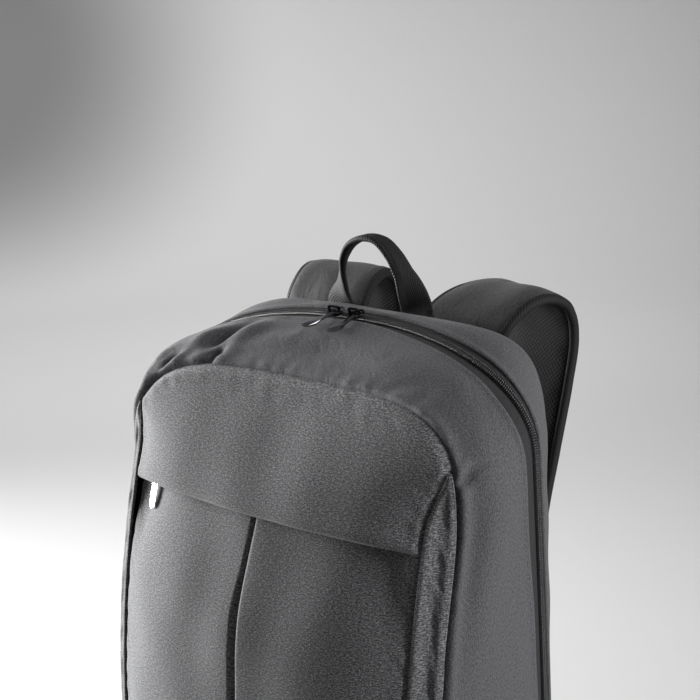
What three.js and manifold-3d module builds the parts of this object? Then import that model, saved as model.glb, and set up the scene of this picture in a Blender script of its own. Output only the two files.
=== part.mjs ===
// A laptop backpack with a zipped front pocket, standing upright on its base.
// Millimetres, +Z up. The front faces -Y and the origin is the middle of the base, on the floor.
import * as THREE from "three";
import Module from "manifold-3d";
import { mergeVertices } from "three/addons/utils/BufferGeometryUtils.js";

const wasm = await Module();
wasm.setup();

// Overall sizes of the bag
const HEIGHT = 430; // floor to the crown of the main zip
const WIDTH = 291; // across the sides, at the main zip
const DEPTH = 142; // pocket side seam to back seam, where the bag is deepest
const FRONT_WIDTH = 274; // between the two side seams of the pocket face
const BACK_WIDTH = 244; // across the seam of the back panel
const FRONT_DROP = 26; // crown of the pocket seam below the crown of the zip
const FRONT_SHOULDER = 144; // height of the arched part of the pocket seam
const ZIP_SHOULDER = 58; // height of the arched part of the main zip
const BACK_SHOULDER = 105; // height of the arched part of the back seam
const FRONT_SET_BACK = 11; // crown of the pocket seam behind its sides
const ZIP_SET_BACK = 22; // crown of the main zip behind its sides
const BACK_SET_IN = 6.5; // crown of the back seam in front of its sides
const ZIP_TO_BACK = 51; // main zip to back seam along Y, at the top of the sides
const ZIP_LEAN = 21; // how much nearer the back seam the zip is at the base
const GUSSET_BULGE = 4.5; // side cloth proud of a straight line, pocket seam to zip
const REAR_BULGE = 3; // the same between the zip and the back seam

// Cloth, seams and base
const CLOTH = 1.8; // coated polyester with its backing
const SEAM_GAP = 0.35; // clearance between two pieces that are sewn edge to edge
const BASE_RISE = 16; // height of the base tray's wall
const BASE_WALL = 3; // the base is two layers of cloth
const BASE_TURN = 11; // how far the base curves in before it is flat
const BASE_GAP = 0.8; // clearance of the walls above the base tray, where their cloth turns

// Front pocket
const POCKET_BULGE = 23; // the filled pocket in front of the line of its side seams
const POCKET_EDGE = 80; // width over which the pocket rounds off towards its seams
const POCKET_WALL_BACK = 14; // wall between pocket and main compartment, behind the seam
const FLAP_HEIGHT = 332; // lower edge of the upper panel, which covers the pocket zip
const FLAP_OVERLAP = 2.5; // how far the lower panels run up behind the flap
const FLAP_STEP = 7.6; // lower panels behind the flap
const FLAP_STEP_SIDE = 3.2; // the same at the sides, where both are sewn down
const FLAP_SIDE_FADE = 18; // width over which the step grows to its full depth
const FLAP_FADE = 62; // height over which that step fades out below the flap
const WEDGE_TOP = 375; // where the side wedges of the pocket start on the seam
const WEDGE_WIDTH = 20; // the wedge between the lower panel and the side seam
const WEDGE_DIP = 3; // the wedge is hollow in its middle
const WEDGE_DEPTH = 11.4; // the wedge's outer side behind its inner side, below the flap
const SEAM_DRAW_IN = 3.3; // how far the pocket seam draws in beside the wedge
const PLEAT_X = 2.5; // edge of the right lower panel, at the flap
const PLEAT_LEAN = 9; // how far that edge moves to +X on its way to the base
const PLEAT_LAP = 12; // the left lower panel runs under the right one
const PLEAT_STEP = 2.8; // the left lower panel behind the right one, at that edge
const PLEAT_FADE = 45; // width over which that step fades out

// Zips
const CHAIN_WIDTH = 5.6; // the coil of the main zip
const CHAIN_THICKNESS = 2.4;
const CHAIN_PROUD = 0.5; // the coil above the tape
const FRONT_TAPE = 6.5; // flat tape in front of the coil
const REAR_TAPE = 3; // tape behind the coil
const TAPE_THICKNESS = 1.2;
const POCKET_ZIP_WIDTH = 16; // tape and coil together, sewn on behind the flap
const POCKET_ZIP_THICKNESS = 1.4;
const SLIDER_LENGTH = 10.5;
const SLIDER_WIDTH = 7;
const SLIDER_NOSE = 4.4; // width of the slider at its two ends
const SLIDER_PLATE = 1.3;
const SLIDER_LIFT = 0.4; // slider above the coil
const BRIDGE_SPAN = 8; // between the two legs of the slider's bridge, middle to middle
const BRIDGE_WIRE = 1.2;
const BRIDGE_CLEAR = 3; // open height under the bridge
const PULL_WIDTH = 7.4; // across the free end of a pull
const MAIN_PULL_NECK = 2.8;
const POCKET_PULL_NECK = 3.2;
const PULL_THICKNESS = 1;
const PULL_EYE = 2.4; // radius of the hole that the bridge's leg goes through
const PULL_EYE_RIM = 1.4;
const PULL_CURL = 2.4; // the free end of a main pull curls up
const MAIN_PULL_LENGTH = 27; // middle of the eye to the tip
const POCKET_PULL_LENGTH = 25;
const LEFT_PULL_X = -14; // where the bridge's leg of each main slider stands
const RIGHT_PULL_X = 2.5;
const LEFT_PULL_YAW = 25; // degrees that each main pull points to -X of straight forwards
const RIGHT_PULL_YAW = 8;
const MAIN_PULL_DIP = 3; // degrees that a main pull slopes down from its slider's plane
const POCKET_PULL_X = -92;
const POCKET_SLIDER_UP = 5; // slider of the pocket zip above the edge of the flap
const POCKET_SLIDER_SCALE = 0.6; // the pocket's zip is smaller than the main one
const POCKET_PULL_CLEAR = 1.2; // the pocket pull's back above the lower panel

// Back panel, handle and shoulder straps
const BACK_PADDING = 6;
const BACK_CLEAR = 2.4; // padded back to the inner face of the cloth round it
const BACK_CROWN = 3; // the padded back is fuller in its middle
const HANDLE_SPACING = 62; // between the middles of the handle's two feet
const HANDLE_RISE = 53; // top of the handle above the back seam
const WEBBING_WIDTH = 25;
const WEBBING_THICKNESS = 1.8;
const GRIP_WIDTH = 12.5; // the handle's webbing is folded in half over the grip
const GRIP_THICKNESS = 4;
const STRAP_WIDTH = 68;
const STRAP_THICKNESS = 10;
const STRAP_EDGE = 3.6; // thickness of the pad inside its binding
const BINDING_WIDTH = 7;
const BINDING_THICKNESS = 1.1;
const BINDING_CLEAR = 0.75; // binding to the faces of the pad that it wraps
const STRAP_BEVEL = 9; // width over which the pad thins towards its binding
const STRAP_CLEAR = 0.5; // strap to back panel where it is sewn on
const STRAP_REACH = 67; // how far the strap's arch stands off behind the back panel
const LOWER_WEBBING_WIDTH = 20;
const LOWER_WEBBING_THICKNESS = 1.6;
const ADJUSTER_WIDTH = 27;
const ADJUSTER_LENGTH = 24;
const ADJUSTER_THICKNESS = 5;
const TAB_LENGTH = 34; // the cloth triangle that holds the lower webbing
const TAB_THICKNESS = 2.4;

// Finishes
const finish = (color, roughness, metalness = 0) =>
  new THREE.MeshStandardMaterial({ color, roughness, metalness });
const HEATHER_CLOTH = finish(0x4b4b4d, 0.92);
const PLAIN_CLOTH = finish(0x434345, 0.85);
const BLACK_WEBBING = finish(0x1b1b1c, 0.8);
const BLACK_MESH = finish(0x202021, 0.95);
const ZIP_COIL = finish(0x141415, 0.5);
const ZIP_TAPE = finish(0x262627, 0.85);
const GUNMETAL = finish(0x2b2b2d, 0.25, 1);
const SATIN_ALLOY = finish(0xd4d4d6, 0.3, 1);
const BLACK_PLASTIC = finish(0x18181a, 0.5);

const bag = new THREE.Group();

function addPiece(name, geometry, material) {
  const mesh = new THREE.Mesh(geometry, material);
  mesh.name = name;
  bag.add(mesh);
  return mesh;
}

const mix = (a, b, t) => a + (b - a) * t;
const clamp01 = (t) => Math.min(1, Math.max(0, t));
const smooth = (t) => clamp01(t) ** 2 * (3 - 2 * clamp01(t));
const steps = (count) => Array.from({ length: count + 1 }, (_, i) => i / count);

// Reads a table of shares, rows of {up, share}, with straight lines between its rows
function readTable(rows, up) {
  const next = rows.findIndex((row) => row.up >= up);
  if (next < 0) return rows[rows.length - 1].share;
  if (next === 0) return rows[0].share;
  const low = rows[next - 1];
  const high = rows[next];
  return mix(low.share, high.share, (up - low.up) / (high.up - low.up));
}

// Builds one closed solid from triangles over a list of points, with its faces pointing out
function solidFrom(points, triangles) {
  const geometry = new THREE.BufferGeometry();
  const numbers = points.flatMap((p) => p.toArray());
  geometry.setAttribute("position", new THREE.Float32BufferAttribute(numbers, 3));
  let volume = 0;
  for (const [a, b, c] of triangles) {
    volume += points[a].dot(new THREE.Vector3().crossVectors(points[b], points[c]));
  }
  const outward = volume > 0 ? triangles : triangles.map(([a, b, c]) => [a, c, b]);
  geometry.setIndex(outward.flat());
  return geometry;
}

// Normals of a grid of points, rows by columns
function gridNormals(grid) {
  return grid.map((row, i) =>
    row.map((_, j) => {
      const along = new THREE.Vector3().subVectors(
        grid[Math.min(i + 1, grid.length - 1)][j],
        grid[Math.max(i - 1, 0)][j],
      );
      const across = new THREE.Vector3().subVectors(
        row[Math.min(j + 1, row.length - 1)],
        row[Math.max(j - 1, 0)],
      );
      return new THREE.Vector3().crossVectors(across, along).normalize();
    }),
  );
}

// A sheet of cloth: the grid is its outer face, and its thickness goes against the normals
function sheetSolid(grid, thickness, lift = 0, normals = gridNormals(grid)) {
  const rows = grid.length;
  const columns = grid[0].length;
  const points = [];
  for (const depth of [lift, lift - thickness]) {
    grid.forEach((row, i) => {
      row.forEach((point, j) => points.push(point.clone().addScaledVector(normals[i][j], depth)));
    });
  }
  const outer = (i, j) => i * columns + j;
  const inner = (i, j) => rows * columns + outer(i, j);
  const triangles = [];
  const quad = (a, b, c, d) => triangles.push([a, b, c], [a, c, d]);
  for (let i = 0; i < rows - 1; i += 1) {
    for (let j = 0; j < columns - 1; j += 1) {
      quad(outer(i, j), outer(i + 1, j), outer(i + 1, j + 1), outer(i, j + 1));
      quad(inner(i, j), inner(i, j + 1), inner(i + 1, j + 1), inner(i + 1, j));
    }
    const right = columns - 1;
    quad(outer(i, 0), inner(i, 0), inner(i + 1, 0), outer(i + 1, 0));
    quad(outer(i + 1, right), inner(i + 1, right), inner(i, right), outer(i, right));
  }
  for (let j = 0; j < columns - 1; j += 1) {
    const end = rows - 1;
    quad(outer(0, j + 1), inner(0, j + 1), inner(0, j), outer(0, j));
    quad(outer(end, j), inner(end, j), inner(end, j + 1), outer(end, j + 1));
  }
  return solidFrom(points, triangles);
}

// A strip swept through stations, each with its middle, across and up directions and a section
function sweptSolid(stations) {
  const count = stations[0].section.length;
  const points = stations.flatMap(({ middle, across, up, section }) =>
    section.map(([a, b]) => middle.clone().addScaledVector(across, a).addScaledVector(up, b)),
  );
  const triangles = [];
  for (let i = 0; i < stations.length - 1; i += 1) {
    for (let k = 0; k < count; k += 1) {
      const a = i * count + k;
      const b = i * count + ((k + 1) % count);
      triangles.push([a, b, b + count], [a, b + count, a + count]);
    }
  }
  const capOf = ({ section }) => {
    const outline = section.map(([a, b]) => new THREE.Vector2(a, b));
    return THREE.ShapeUtils.triangulateShape(outline, []);
  };
  const last = (stations.length - 1) * count;
  for (const [a, b, c] of capOf(stations[0])) triangles.push([a, c, b]);
  for (const cap of capOf(stations[stations.length - 1])) triangles.push(cap.map((k) => last + k));
  return solidFrom(points, triangles);
}

function toManifold(geometry) {
  const bare = geometry.clone();
  bare.deleteAttribute("normal");
  bare.deleteAttribute("uv");
  const merged = mergeVertices(bare, 1e-4);
  return new wasm.Manifold(
    new wasm.Mesh({
      numProp: 3,
      vertProperties: new Float32Array(merged.attributes.position.array),
      triVerts: new Uint32Array(merged.index.array),
    }),
  );
}

function fromManifold(solid) {
  const { vertProperties, triVerts } = solid.getMesh();
  const geometry = new THREE.BufferGeometry();
  geometry.setAttribute("position", new THREE.Float32BufferAttribute(vertProperties, 3));
  geometry.setIndex(Array.from(triVerts));
  return geometry;
}

// The bag's own curves

// Share of the bag's depth at each height: the front leans back above the middle
const LEAN = [
  { up: 0, share: 0.93 },
  { up: 0.04, share: 0.95 },
  { up: 0.12, share: 0.985 },
  { up: 0.26, share: 1 },
  { up: 0.4, share: 0.99 },
  { up: 0.53, share: 0.955 },
  { up: 0.65, share: 0.897 },
  { up: 0.79, share: 0.799 },
  { up: 0.9, share: 0.722 },
  { up: 1, share: 0.652 },
];

// Share of the pocket's bulge at each height
const FILL = [
  { up: 0, share: 0.5 },
  { up: 0.05, share: 0.66 },
  { up: 0.15, share: 0.95 },
  { up: 0.3, share: 1.08 },
  { up: 0.5, share: 1.1 },
  { up: 0.77, share: 1 },
  { up: 0.95, share: 0.72 },
];

// Share of the full width at each height: the sides draw in a little towards the base
const TAPER = [
  { up: 0, share: 0.95 },
  { up: 0.06, share: 0.968 },
  { up: 0.15, share: 0.985 },
  { up: 0.35, share: 1 },
];

const WALL_FOOT = BASE_RISE + BASE_GAP; // height where the walls end above the base tray
const backY = DEPTH / 2;
const leanY = (z) => backY - DEPTH * readTable(LEAN, z / HEIGHT);

// Share of their full depth that the pocket's side wedges have at a height
const wedgeOpen = (z) => 1 - smooth((z - FLAP_HEIGHT) / (WEDGE_TOP - FLAP_HEIGHT));

// A seam line: straight sides, with a superellipse over the top
function makeSeam({ width, top, shoulder, power, drawIn = 0, y }) {
  const half = width / 2;
  const spring = top - shoulder;
  const sidePoint = (z) => new THREE.Vector2(half * readTable(TAPER, z / HEIGHT), z);
  const round = (value) => value ** (2 / power);
  const archPoint = (angle) =>
    new THREE.Vector2(half * round(Math.cos(angle)), spring + shoulder * round(Math.sin(angle)));
  const side = steps(10).map((t) => sidePoint(mix(WALL_FOOT, spring, t)));
  const arch = steps(40).slice(1).map((t) => archPoint((Math.PI / 2) * Math.sin((Math.PI / 2) * t) ** 1.4));
  arch[arch.length - 1].x = 0;
  const outline = [...side, ...arch];
  for (const point of outline) point.x -= drawIn * wedgeOpen(point.y);
  return { half, spring, shoulder, top, power, outline, y };
}

// How far the front of the bag sets back from its sides to its middle
const setBack = (x) => FRONT_SET_BACK * (1 - (x / (FRONT_WIDTH / 2)) ** 2);

const frontSeam = makeSeam({
  width: FRONT_WIDTH,
  top: HEIGHT - FRONT_DROP,
  shoulder: FRONT_SHOULDER,
  power: 4.9,
  drawIn: SEAM_DRAW_IN,
  y: (x, z) => leanY(z) + setBack(x) + (WEDGE_DEPTH / 2) * wedgeOpen(z),
});
const zipLine = makeSeam({
  width: WIDTH,
  top: HEIGHT,
  shoulder: ZIP_SHOULDER,
  power: 2.24,
  y: (x, z) => {
    const sideY = backY - ZIP_TO_BACK + ZIP_LEAN * (1 - z / HEIGHT);
    return sideY + ZIP_SET_BACK * (1 - (x / (WIDTH / 2)) ** 2);
  },
});
const backSeam = makeSeam({
  width: BACK_WIDTH,
  top: HEIGHT + 1,
  shoulder: BACK_SHOULDER,
  power: 5.5,
  y: (x) => backY - BACK_SET_IN * (1 - (x / (BACK_WIDTH / 2)) ** 2),
});

// Points at equal spacing along an open line of 2-D points
function evenPoints(line, count) {
  const lengths = [0];
  line.slice(1).forEach((point, i) => lengths.push(lengths[i] + point.distanceTo(line[i])));
  const total = lengths[lengths.length - 1];
  return steps(count).map((t) => {
    const want = t * total;
    const k = Math.min(Math.max(lengths.findIndex((length) => length >= want), 1), line.length - 1);
    return line[k - 1].clone().lerp(line[k], (want - lengths[k - 1]) / (lengths[k] - lengths[k - 1]));
  });
}

// A seam as 3-D points, from the base on the -X side over the top to the base on the +X side
const HALF_STATIONS = 21;
function seamPoints(seam) {
  const places = evenPoints(seam.outline, HALF_STATIONS);
  const right = places.map((p) => new THREE.Vector3(p.x, seam.y(p.x, p.y), p.y));
  const left = right.slice(0, -1).map((p) => new THREE.Vector3(-p.x, p.y, p.z));
  return [...left, ...right.reverse()];
}

// Outward direction of a seam line in the XZ plane, at each of its points
function outwardOf(points) {
  return points.map((_, i) => {
    const before = points[Math.max(i - 1, 0)];
    const after = points[Math.min(i + 1, points.length - 1)];
    return new THREE.Vector3(-(after.z - before.z), 0, after.x - before.x).normalize();
  });
}

// Lines across the bag's side and top, one for each station: pocket seam, zip, back seam
const ACROSS_STEPS = 80;
const frontRing = seamPoints(frontSeam);
const zipRing = seamPoints(zipLine);
const backRing = seamPoints(backSeam);
const zipOutward = outwardOf(zipRing);
const acrossLines = zipRing.map((zipPoint, i) => {
  const halfway = (from, to, bulge) => from.clone().lerp(to, 0.5).addScaledVector(zipOutward[i], bulge);
  const line = new THREE.CatmullRomCurve3(
    [
      frontRing[i],
      halfway(frontRing[i], zipPoint, GUSSET_BULGE),
      zipPoint,
      halfway(zipPoint, backRing[i], REAR_BULGE),
      backRing[i],
    ],
    false,
    "catmullrom",
    0.5,
  );
  line.arcLengthDivisions = ACROSS_STEPS;
  return { line, length: line.getLength(), zipAt: line.getLengths()[ACROSS_STEPS / 2] };
});

// The sheet between two distances from the zip's middle, negative towards the front.
// A start or end left out is the pocket seam or the back seam, less its clearance.
function bodyStrip({ from, to, columns }) {
  const places = acrossLines.map(({ length, zipAt }) => {
    const start = from === undefined ? CLOTH + 2 * SEAM_GAP - zipAt : from;
    const end = to === undefined ? length - SEAM_GAP - zipAt : to;
    return steps(columns).map((t) => mix(start, end, t));
  });
  const last = acrossLines.length - 1;
  const normals = places.map((row, i) =>
    row.map((place) => {
      const before = bodyPoint(Math.max(i - 1, 0), place);
      const along = bodyPoint(Math.min(i + 1, last), place).sub(before);
      const across = bodyPoint(i, place + 1).sub(bodyPoint(i, place - 1));
      return new THREE.Vector3().crossVectors(along, across).normalize();
    }),
  );
  return { grid: places.map((row, i) => row.map((place) => bodyPoint(i, place))), normals };
}

// A point of the body at a station, at a distance from the zip's middle
function bodyPoint(station, place) {
  const { line, length, zipAt } = acrossLines[station];
  return line.getPointAt(clamp01((zipAt + place) / length));
}

function bodySheet(strip, thickness, lift = 0) {
  const { grid, normals } = bodyStrip(strip);
  return sheetSolid(grid, thickness, lift, normals);
}

// Body sides and top
const chainEdge = CHAIN_WIDTH / 2 + SEAM_GAP;
const frontTapeEdge = chainEdge + FRONT_TAPE;
const rearTapeEdge = chainEdge + REAR_TAPE;

function addBody() {
  addPiece("main_gusset", bodySheet({ to: -frontTapeEdge - SEAM_GAP, columns: 5 }, CLOTH), PLAIN_CLOTH);
  addPiece("rear_gusset", bodySheet({ from: rearTapeEdge + SEAM_GAP, columns: 4 }, CLOTH), PLAIN_CLOTH);
}

function addMainZip() {
  const frontTape = { from: -frontTapeEdge, to: -chainEdge, columns: 1 };
  const coil = { from: -CHAIN_WIDTH / 2, to: CHAIN_WIDTH / 2, columns: 1 };
  const rearTape = { from: chainEdge, to: rearTapeEdge, columns: 1 };
  addPiece("main_zip_front_tape", bodySheet(frontTape, TAPE_THICKNESS), ZIP_TAPE);
  addPiece("main_zip_coil", bodySheet(coil, CHAIN_THICKNESS, CHAIN_PROUD), ZIP_COIL);
  addPiece("main_zip_rear_tape", bodySheet(rearTape, TAPE_THICKNESS), ZIP_TAPE);
}

// A patch of rows and columns inside four boundary lines, by transfinite interpolation
function patch({ bottom, top, left, right }) {
  const last = bottom.length - 1;
  const up = left.length - 1;
  return left.map((_, i) => {
    const v = i / up;
    return bottom.map((__, j) => {
      const u = j / last;
      const point = new THREE.Vector2();
      point.addScaledVector(bottom[j], 1 - v).addScaledVector(top[j], v);
      point.addScaledVector(left[i], 1 - u).addScaledVector(right[i], u);
      point.addScaledVector(bottom[0], -(1 - u) * (1 - v)).addScaledVector(bottom[last], -u * (1 - v));
      return point.addScaledVector(top[0], -(1 - u) * v).addScaledVector(top[last], -u * v);
    });
  });
}

const mirrorX = (p) => new THREE.Vector2(-p.x, p.y);

// Splits the right half of an arched outline where it turns from side to top, and fills it
function archedPatch(outline, columns, rows) {
  const slope = (i) => Math.abs(outline[i].y - outline[i - 1].y) - Math.abs(outline[i].x - outline[i - 1].x);
  let corner = outline.length - 1;
  while (corner > 1 && slope(corner) < 0) corner -= 1;
  const right = evenPoints(outline.slice(0, corner + 1), rows);
  const topRight = evenPoints(outline.slice(corner), columns / 2);
  const top = [...topRight.map(mirrorX), ...topRight.slice(0, -1).reverse()];
  const bottom = steps(columns).map((t) => mirrorX(right[0]).lerp(right[0], t));
  return patch({ bottom, top, left: right.map(mirrorX), right });
}

// An outline drawn in by an amount, towards the middle of the bag
function drawnIn(outline, amount) {
  return outline.map((p, i) => {
    const before = outline[Math.max(i - 1, 0)];
    const after = outline[Math.min(i + 1, outline.length - 1)];
    const along = new THREE.Vector2().subVectors(after, before).normalize();
    const moved = new THREE.Vector2(p.x - along.y * amount, p.y + along.x * amount);
    if (i === 0) moved.y = p.y;
    if (i === outline.length - 1) moved.x = 0;
    return moved;
  });
}

// A sheet over a patch of (x, z) places, with its outer face at yAt(x, z).
// Facing is -1 for a sheet that faces the front and 1 for one that faces the back.
function facedSheet(places, yAt, thickness, facing) {
  const grid = places.map((row) => row.map((p) => new THREE.Vector3(p.x, yAt(p.x, p.y), p.y)));
  const normals = places.map((row) =>
    row.map(({ x, y: z }) => {
      const slopeX = (yAt(x + 1, z) - yAt(x - 1, z)) / 2;
      const slopeZ = (yAt(x, z + 1) - yAt(x, z - 1)) / 2;
      return new THREE.Vector3(-slopeX, 1, -slopeZ).multiplyScalar(facing).normalize();
    }),
  );
  return sheetSolid(grid, thickness, 0, normals);
}

// The outer face of the padded back
function backPanelY(x, z) {
  const across = Math.max(0, 1 - (x / backSeam.half) ** 2);
  const upwards = Math.sin(Math.PI * clamp01((z - BASE_RISE) / (backSeam.top - BASE_RISE)));
  return backSeam.y(x) + BACK_CROWN * across * upwards;
}

function addBackPanel() {
  const outline = drawnIn(backSeam.outline, CLOTH + BACK_CLEAR);
  addPiece("back_panel", facedSheet(archedPatch(outline, 12, 10), backPanelY, BACK_PADDING, 1), BLACK_MESH);
}

// Front pocket

// Half width of the pocket's lower panels, inside the side wedges
function panelHalf(z) {
  const full = (frontSeam.half - WEDGE_WIDTH) * readTable(TAPER, z / HEIGHT);
  return mix(full, wedgeStart.x, smooth((z - FLAP_HEIGHT) / (WEDGE_TOP - FLAP_HEIGHT)) ** 2);
}
const wedgeStart = frontSeam.outline.find((p) => p.y >= WEDGE_TOP);
const archAboveWedge = frontSeam.outline.filter((p) => p.y >= WEDGE_TOP);
const wedgeEdge = steps(12).map((t) => {
  const z = mix(WALL_FOOT, WEDGE_TOP, t);
  return new THREE.Vector2(panelHalf(z), z);
});
const panelOutline = [...wedgeEdge.slice(0, -1), ...archAboveWedge];

// Distance from a point to the line that bounds the pocket's panels
function distanceToEdge(x, z) {
  const segment = new THREE.Line3();
  const here = new THREE.Vector3(Math.abs(x), z, 0);
  const nearest = new THREE.Vector3();
  return Math.min(
    ...panelOutline.slice(1).map((end, i) => {
      segment.start.set(panelOutline[i].x, panelOutline[i].y, 0);
      segment.end.set(end.x, end.y, 0);
      return segment.closestPointToPoint(here, true, nearest).distanceTo(here);
    }),
  );
}

// The pocket's face: it rises from its seams like a pillow
function pocketY(x, z) {
  const inside = clamp01(distanceToEdge(x, z) / POCKET_EDGE);
  const pillow = 1 - (1 - inside) ** 2.4;
  const edgeY = setBack(x) - (WEDGE_DEPTH / 2) * wedgeOpen(z);
  return leanY(z) + edgeY * (1 - pillow) - POCKET_BULGE * readTable(FILL, z / HEIGHT) * pillow;
}

const pleatX = (z) => PLEAT_X + PLEAT_LEAN * (1 - z / FLAP_HEIGHT);

// How far the lower panels lie behind the flap, at the flap's edge and below it
function fullStep(x) {
  const fromSide = panelHalf(FLAP_HEIGHT) - Math.abs(x);
  return mix(FLAP_STEP_SIDE, FLAP_STEP, smooth(fromSide / FLAP_SIDE_FADE));
}
const flapStep = (x, z) => fullStep(x) * (1 - smooth((FLAP_HEIGHT - z) / FLAP_FADE));

function addUpperPanel() {
  const sides = panelOutline.filter((p) => p.y > FLAP_HEIGHT);
  const outline = [new THREE.Vector2(panelHalf(FLAP_HEIGHT), FLAP_HEIGHT), ...sides];
  addPiece("pocket_upper_panel", facedSheet(archedPatch(outline, 18, 10), pocketY, CLOTH, -1), HEATHER_CLOTH);
}

// A lower panel between two side lines, from the base up behind the flap
function lowerPanel(columns, leftX, rightX, stepBack) {
  const top = FLAP_HEIGHT + FLAP_OVERLAP;
  return steps(14).map((v) => {
    const z = mix(WALL_FOOT, top, v);
    return steps(columns).map((u) => {
      const x = mix(leftX(z), rightX(z), u);
      return new THREE.Vector3(x, pocketY(x, z) + flapStep(x, z) + stepBack(x, z), z);
    });
  });
}

function addLowerPanels() {
  const edge = (z) => panelHalf(Math.min(z, FLAP_HEIGHT)) - SEAM_GAP;
  const pleatBack = (x, z) => PLEAT_STEP * smooth((x - pleatX(z) + PLEAT_FADE) / PLEAT_FADE);
  const right = lowerPanel(8, pleatX, edge, () => 0);
  const left = lowerPanel(10, (z) => -edge(z), (z) => pleatX(z) + PLEAT_LAP, pleatBack);
  addPiece("pocket_lower_right_panel", sheetSolid(right, CLOTH), HEATHER_CLOTH);
  addPiece("pocket_lower_left_panel", sheetSolid(left, CLOTH), HEATHER_CLOTH);
}

function halfWidthAt(outline, z) {
  const k = Math.max(outline.findIndex((p) => p.y >= z), 1);
  return mix(outline[k - 1].x, outline[k].x, (z - outline[k - 1].y) / (outline[k].y - outline[k - 1].y));
}

// The narrow side wedge between a lower panel and the body's seam
function addWedge(side, name) {
  const top = WEDGE_TOP - 3 * CLOTH;
  const grid = steps(16).map((v) => {
    const z = mix(WALL_FOOT, top, v);
    const inner = panelHalf(z) + SEAM_GAP;
    const outer = Math.max(halfWidthAt(frontSeam.outline, z) - 2 * SEAM_GAP, inner + SEAM_GAP);
    return steps(4).map((u) => {
      const x = mix(inner, outer, u);
      const dip = WEDGE_DIP * Math.sin(Math.PI * u) ** 2 * smooth((outer - inner) / WEDGE_WIDTH);
      const y = leanY(z) + WEDGE_DEPTH * wedgeOpen(z) * (u - 0.5) + dip;
      return new THREE.Vector3(side * x, y, z);
    });
  });
  const facing = side > 0 ? grid : grid.map((row) => [...row].reverse());
  const normals = facing.map((row) => row.map(() => new THREE.Vector3(0, -1, 0)));
  addPiece(name, sheetSolid(facing, CLOTH, 0, normals), PLAIN_CLOTH);
}

// The wall between the pocket and the main compartment, down to the floor of the base tray
function addPocketBackWall() {
  const sides = drawnIn(frontSeam.outline, 2 * CLOTH + SEAM_GAP);
  const foot = new THREE.Vector2(sides[0].x - BASE_TURN, BASE_WALL + SEAM_GAP);
  const outline = [foot, ...sides];
  const wallY = (x, z) => leanY(z) + setBack(x) + POCKET_WALL_BACK;
  addPiece("pocket_back_wall", facedSheet(archedPatch(outline, 12, 10), wallY, CLOTH, -1), PLAIN_CLOTH);
}

// Base: a shallow tray under all the walls, flat where it stands.
// Its section: in is a share of the base's turn, up a share of its rise,
// and walls counts wall thicknesses that are added inwards and upwards.
const TRAY_SECTION = [
  { in: 0, up: 1, wallsIn: 0, wallsUp: 0 },
  { in: 0.12, up: 0.55, wallsIn: 0, wallsUp: 0 },
  { in: 0.45, up: 0.2, wallsIn: 0, wallsUp: 0 },
  { in: 1, up: 0, wallsIn: 0, wallsUp: 0 },
  { in: 1, up: 0, wallsIn: 0, wallsUp: 1 },
  { in: 0.45, up: 0.2, wallsIn: 1, wallsUp: 1 },
  { in: 0.12, up: 0.55, wallsIn: 1, wallsUp: 0.5 },
  { in: 0, up: 1, wallsIn: 1, wallsUp: 0 },
];
// The loops of the tray's section that are closed across the bag
const trayUnderside = TRAY_SECTION.findIndex((row) => row.up === 0);
const trayFloor = trayUnderside + 1;

// The foot of the walls, all the way round, seen from above
function baseOutline() {
  const z = WALL_FOOT;
  const edge = panelHalf(z) - SEAM_GAP;
  const front = steps(14).map((t) => {
    const x = mix(-edge, edge, t);
    return new THREE.Vector2(x, pocketY(x, z) + flapStep(x, z));
  });
  const side = acrossLines[acrossLines.length - 1].line;
  const right = steps(12).map((t) => side.getPointAt(t)).map((p) => new THREE.Vector2(p.x, p.y));
  const left = [...right].reverse().map(mirrorX);
  const back = steps(8).slice(1, -1).map((t) => {
    const x = mix(-backRing[0].x, backRing[0].x, t);
    return new THREE.Vector2(x, backSeam.y(x));
  });
  return [...front, ...right, ...back, ...left];
}

function addBase() {
  const rim = baseOutline();
  const count = rim.length;
  const middle = rim.reduce((sum, p) => sum.add(p), new THREE.Vector2()).divideScalar(count);
  const points = TRAY_SECTION.flatMap((row) => {
    const inside = BASE_TURN * row.in + BASE_WALL * row.wallsIn;
    const z = BASE_RISE * row.up + BASE_WALL * row.wallsUp;
    const x = (p) => mix(p.x, middle.x, inside / (WIDTH / 2));
    const y = (p) => mix(p.y, middle.y, inside / (DEPTH / 2));
    return rim.map((p) => new THREE.Vector3(x(p), y(p), z));
  });
  const triangles = [];
  TRAY_SECTION.forEach((_, loop) => {
    if (loop === trayUnderside) return;
    const from = loop * count;
    const to = ((loop + 1) % TRAY_SECTION.length) * count;
    for (let k = 0; k < count; k += 1) {
      const n = (k + 1) % count;
      triangles.push([from + k, to + k, to + n], [from + k, to + n, from + n]);
    }
  });
  const closeLoop = (loop) => {
    const outline = points.slice(loop * count, (loop + 1) * count).map((p) => new THREE.Vector2(p.x, p.y));
    return THREE.ShapeUtils.triangulateShape(outline, []).map((face) => face.map((k) => loop * count + k));
  };
  for (const [a, b, c] of closeLoop(trayUnderside)) triangles.push([a, c, b]);
  triangles.push(...closeLoop(trayFloor));
  addPiece("base", solidFrom(points, triangles), PLAIN_CLOTH);
}

// Pocket zip: tape and coil from the top of the lower panels up to the inside of the flap
function pocketZipBack(x, z) {
  const share = (z - FLAP_HEIGHT - FLAP_OVERLAP) / POCKET_ZIP_WIDTH;
  return mix(fullStep(x), CLOTH + 2 * SEAM_GAP, clamp01(share));
}

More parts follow.
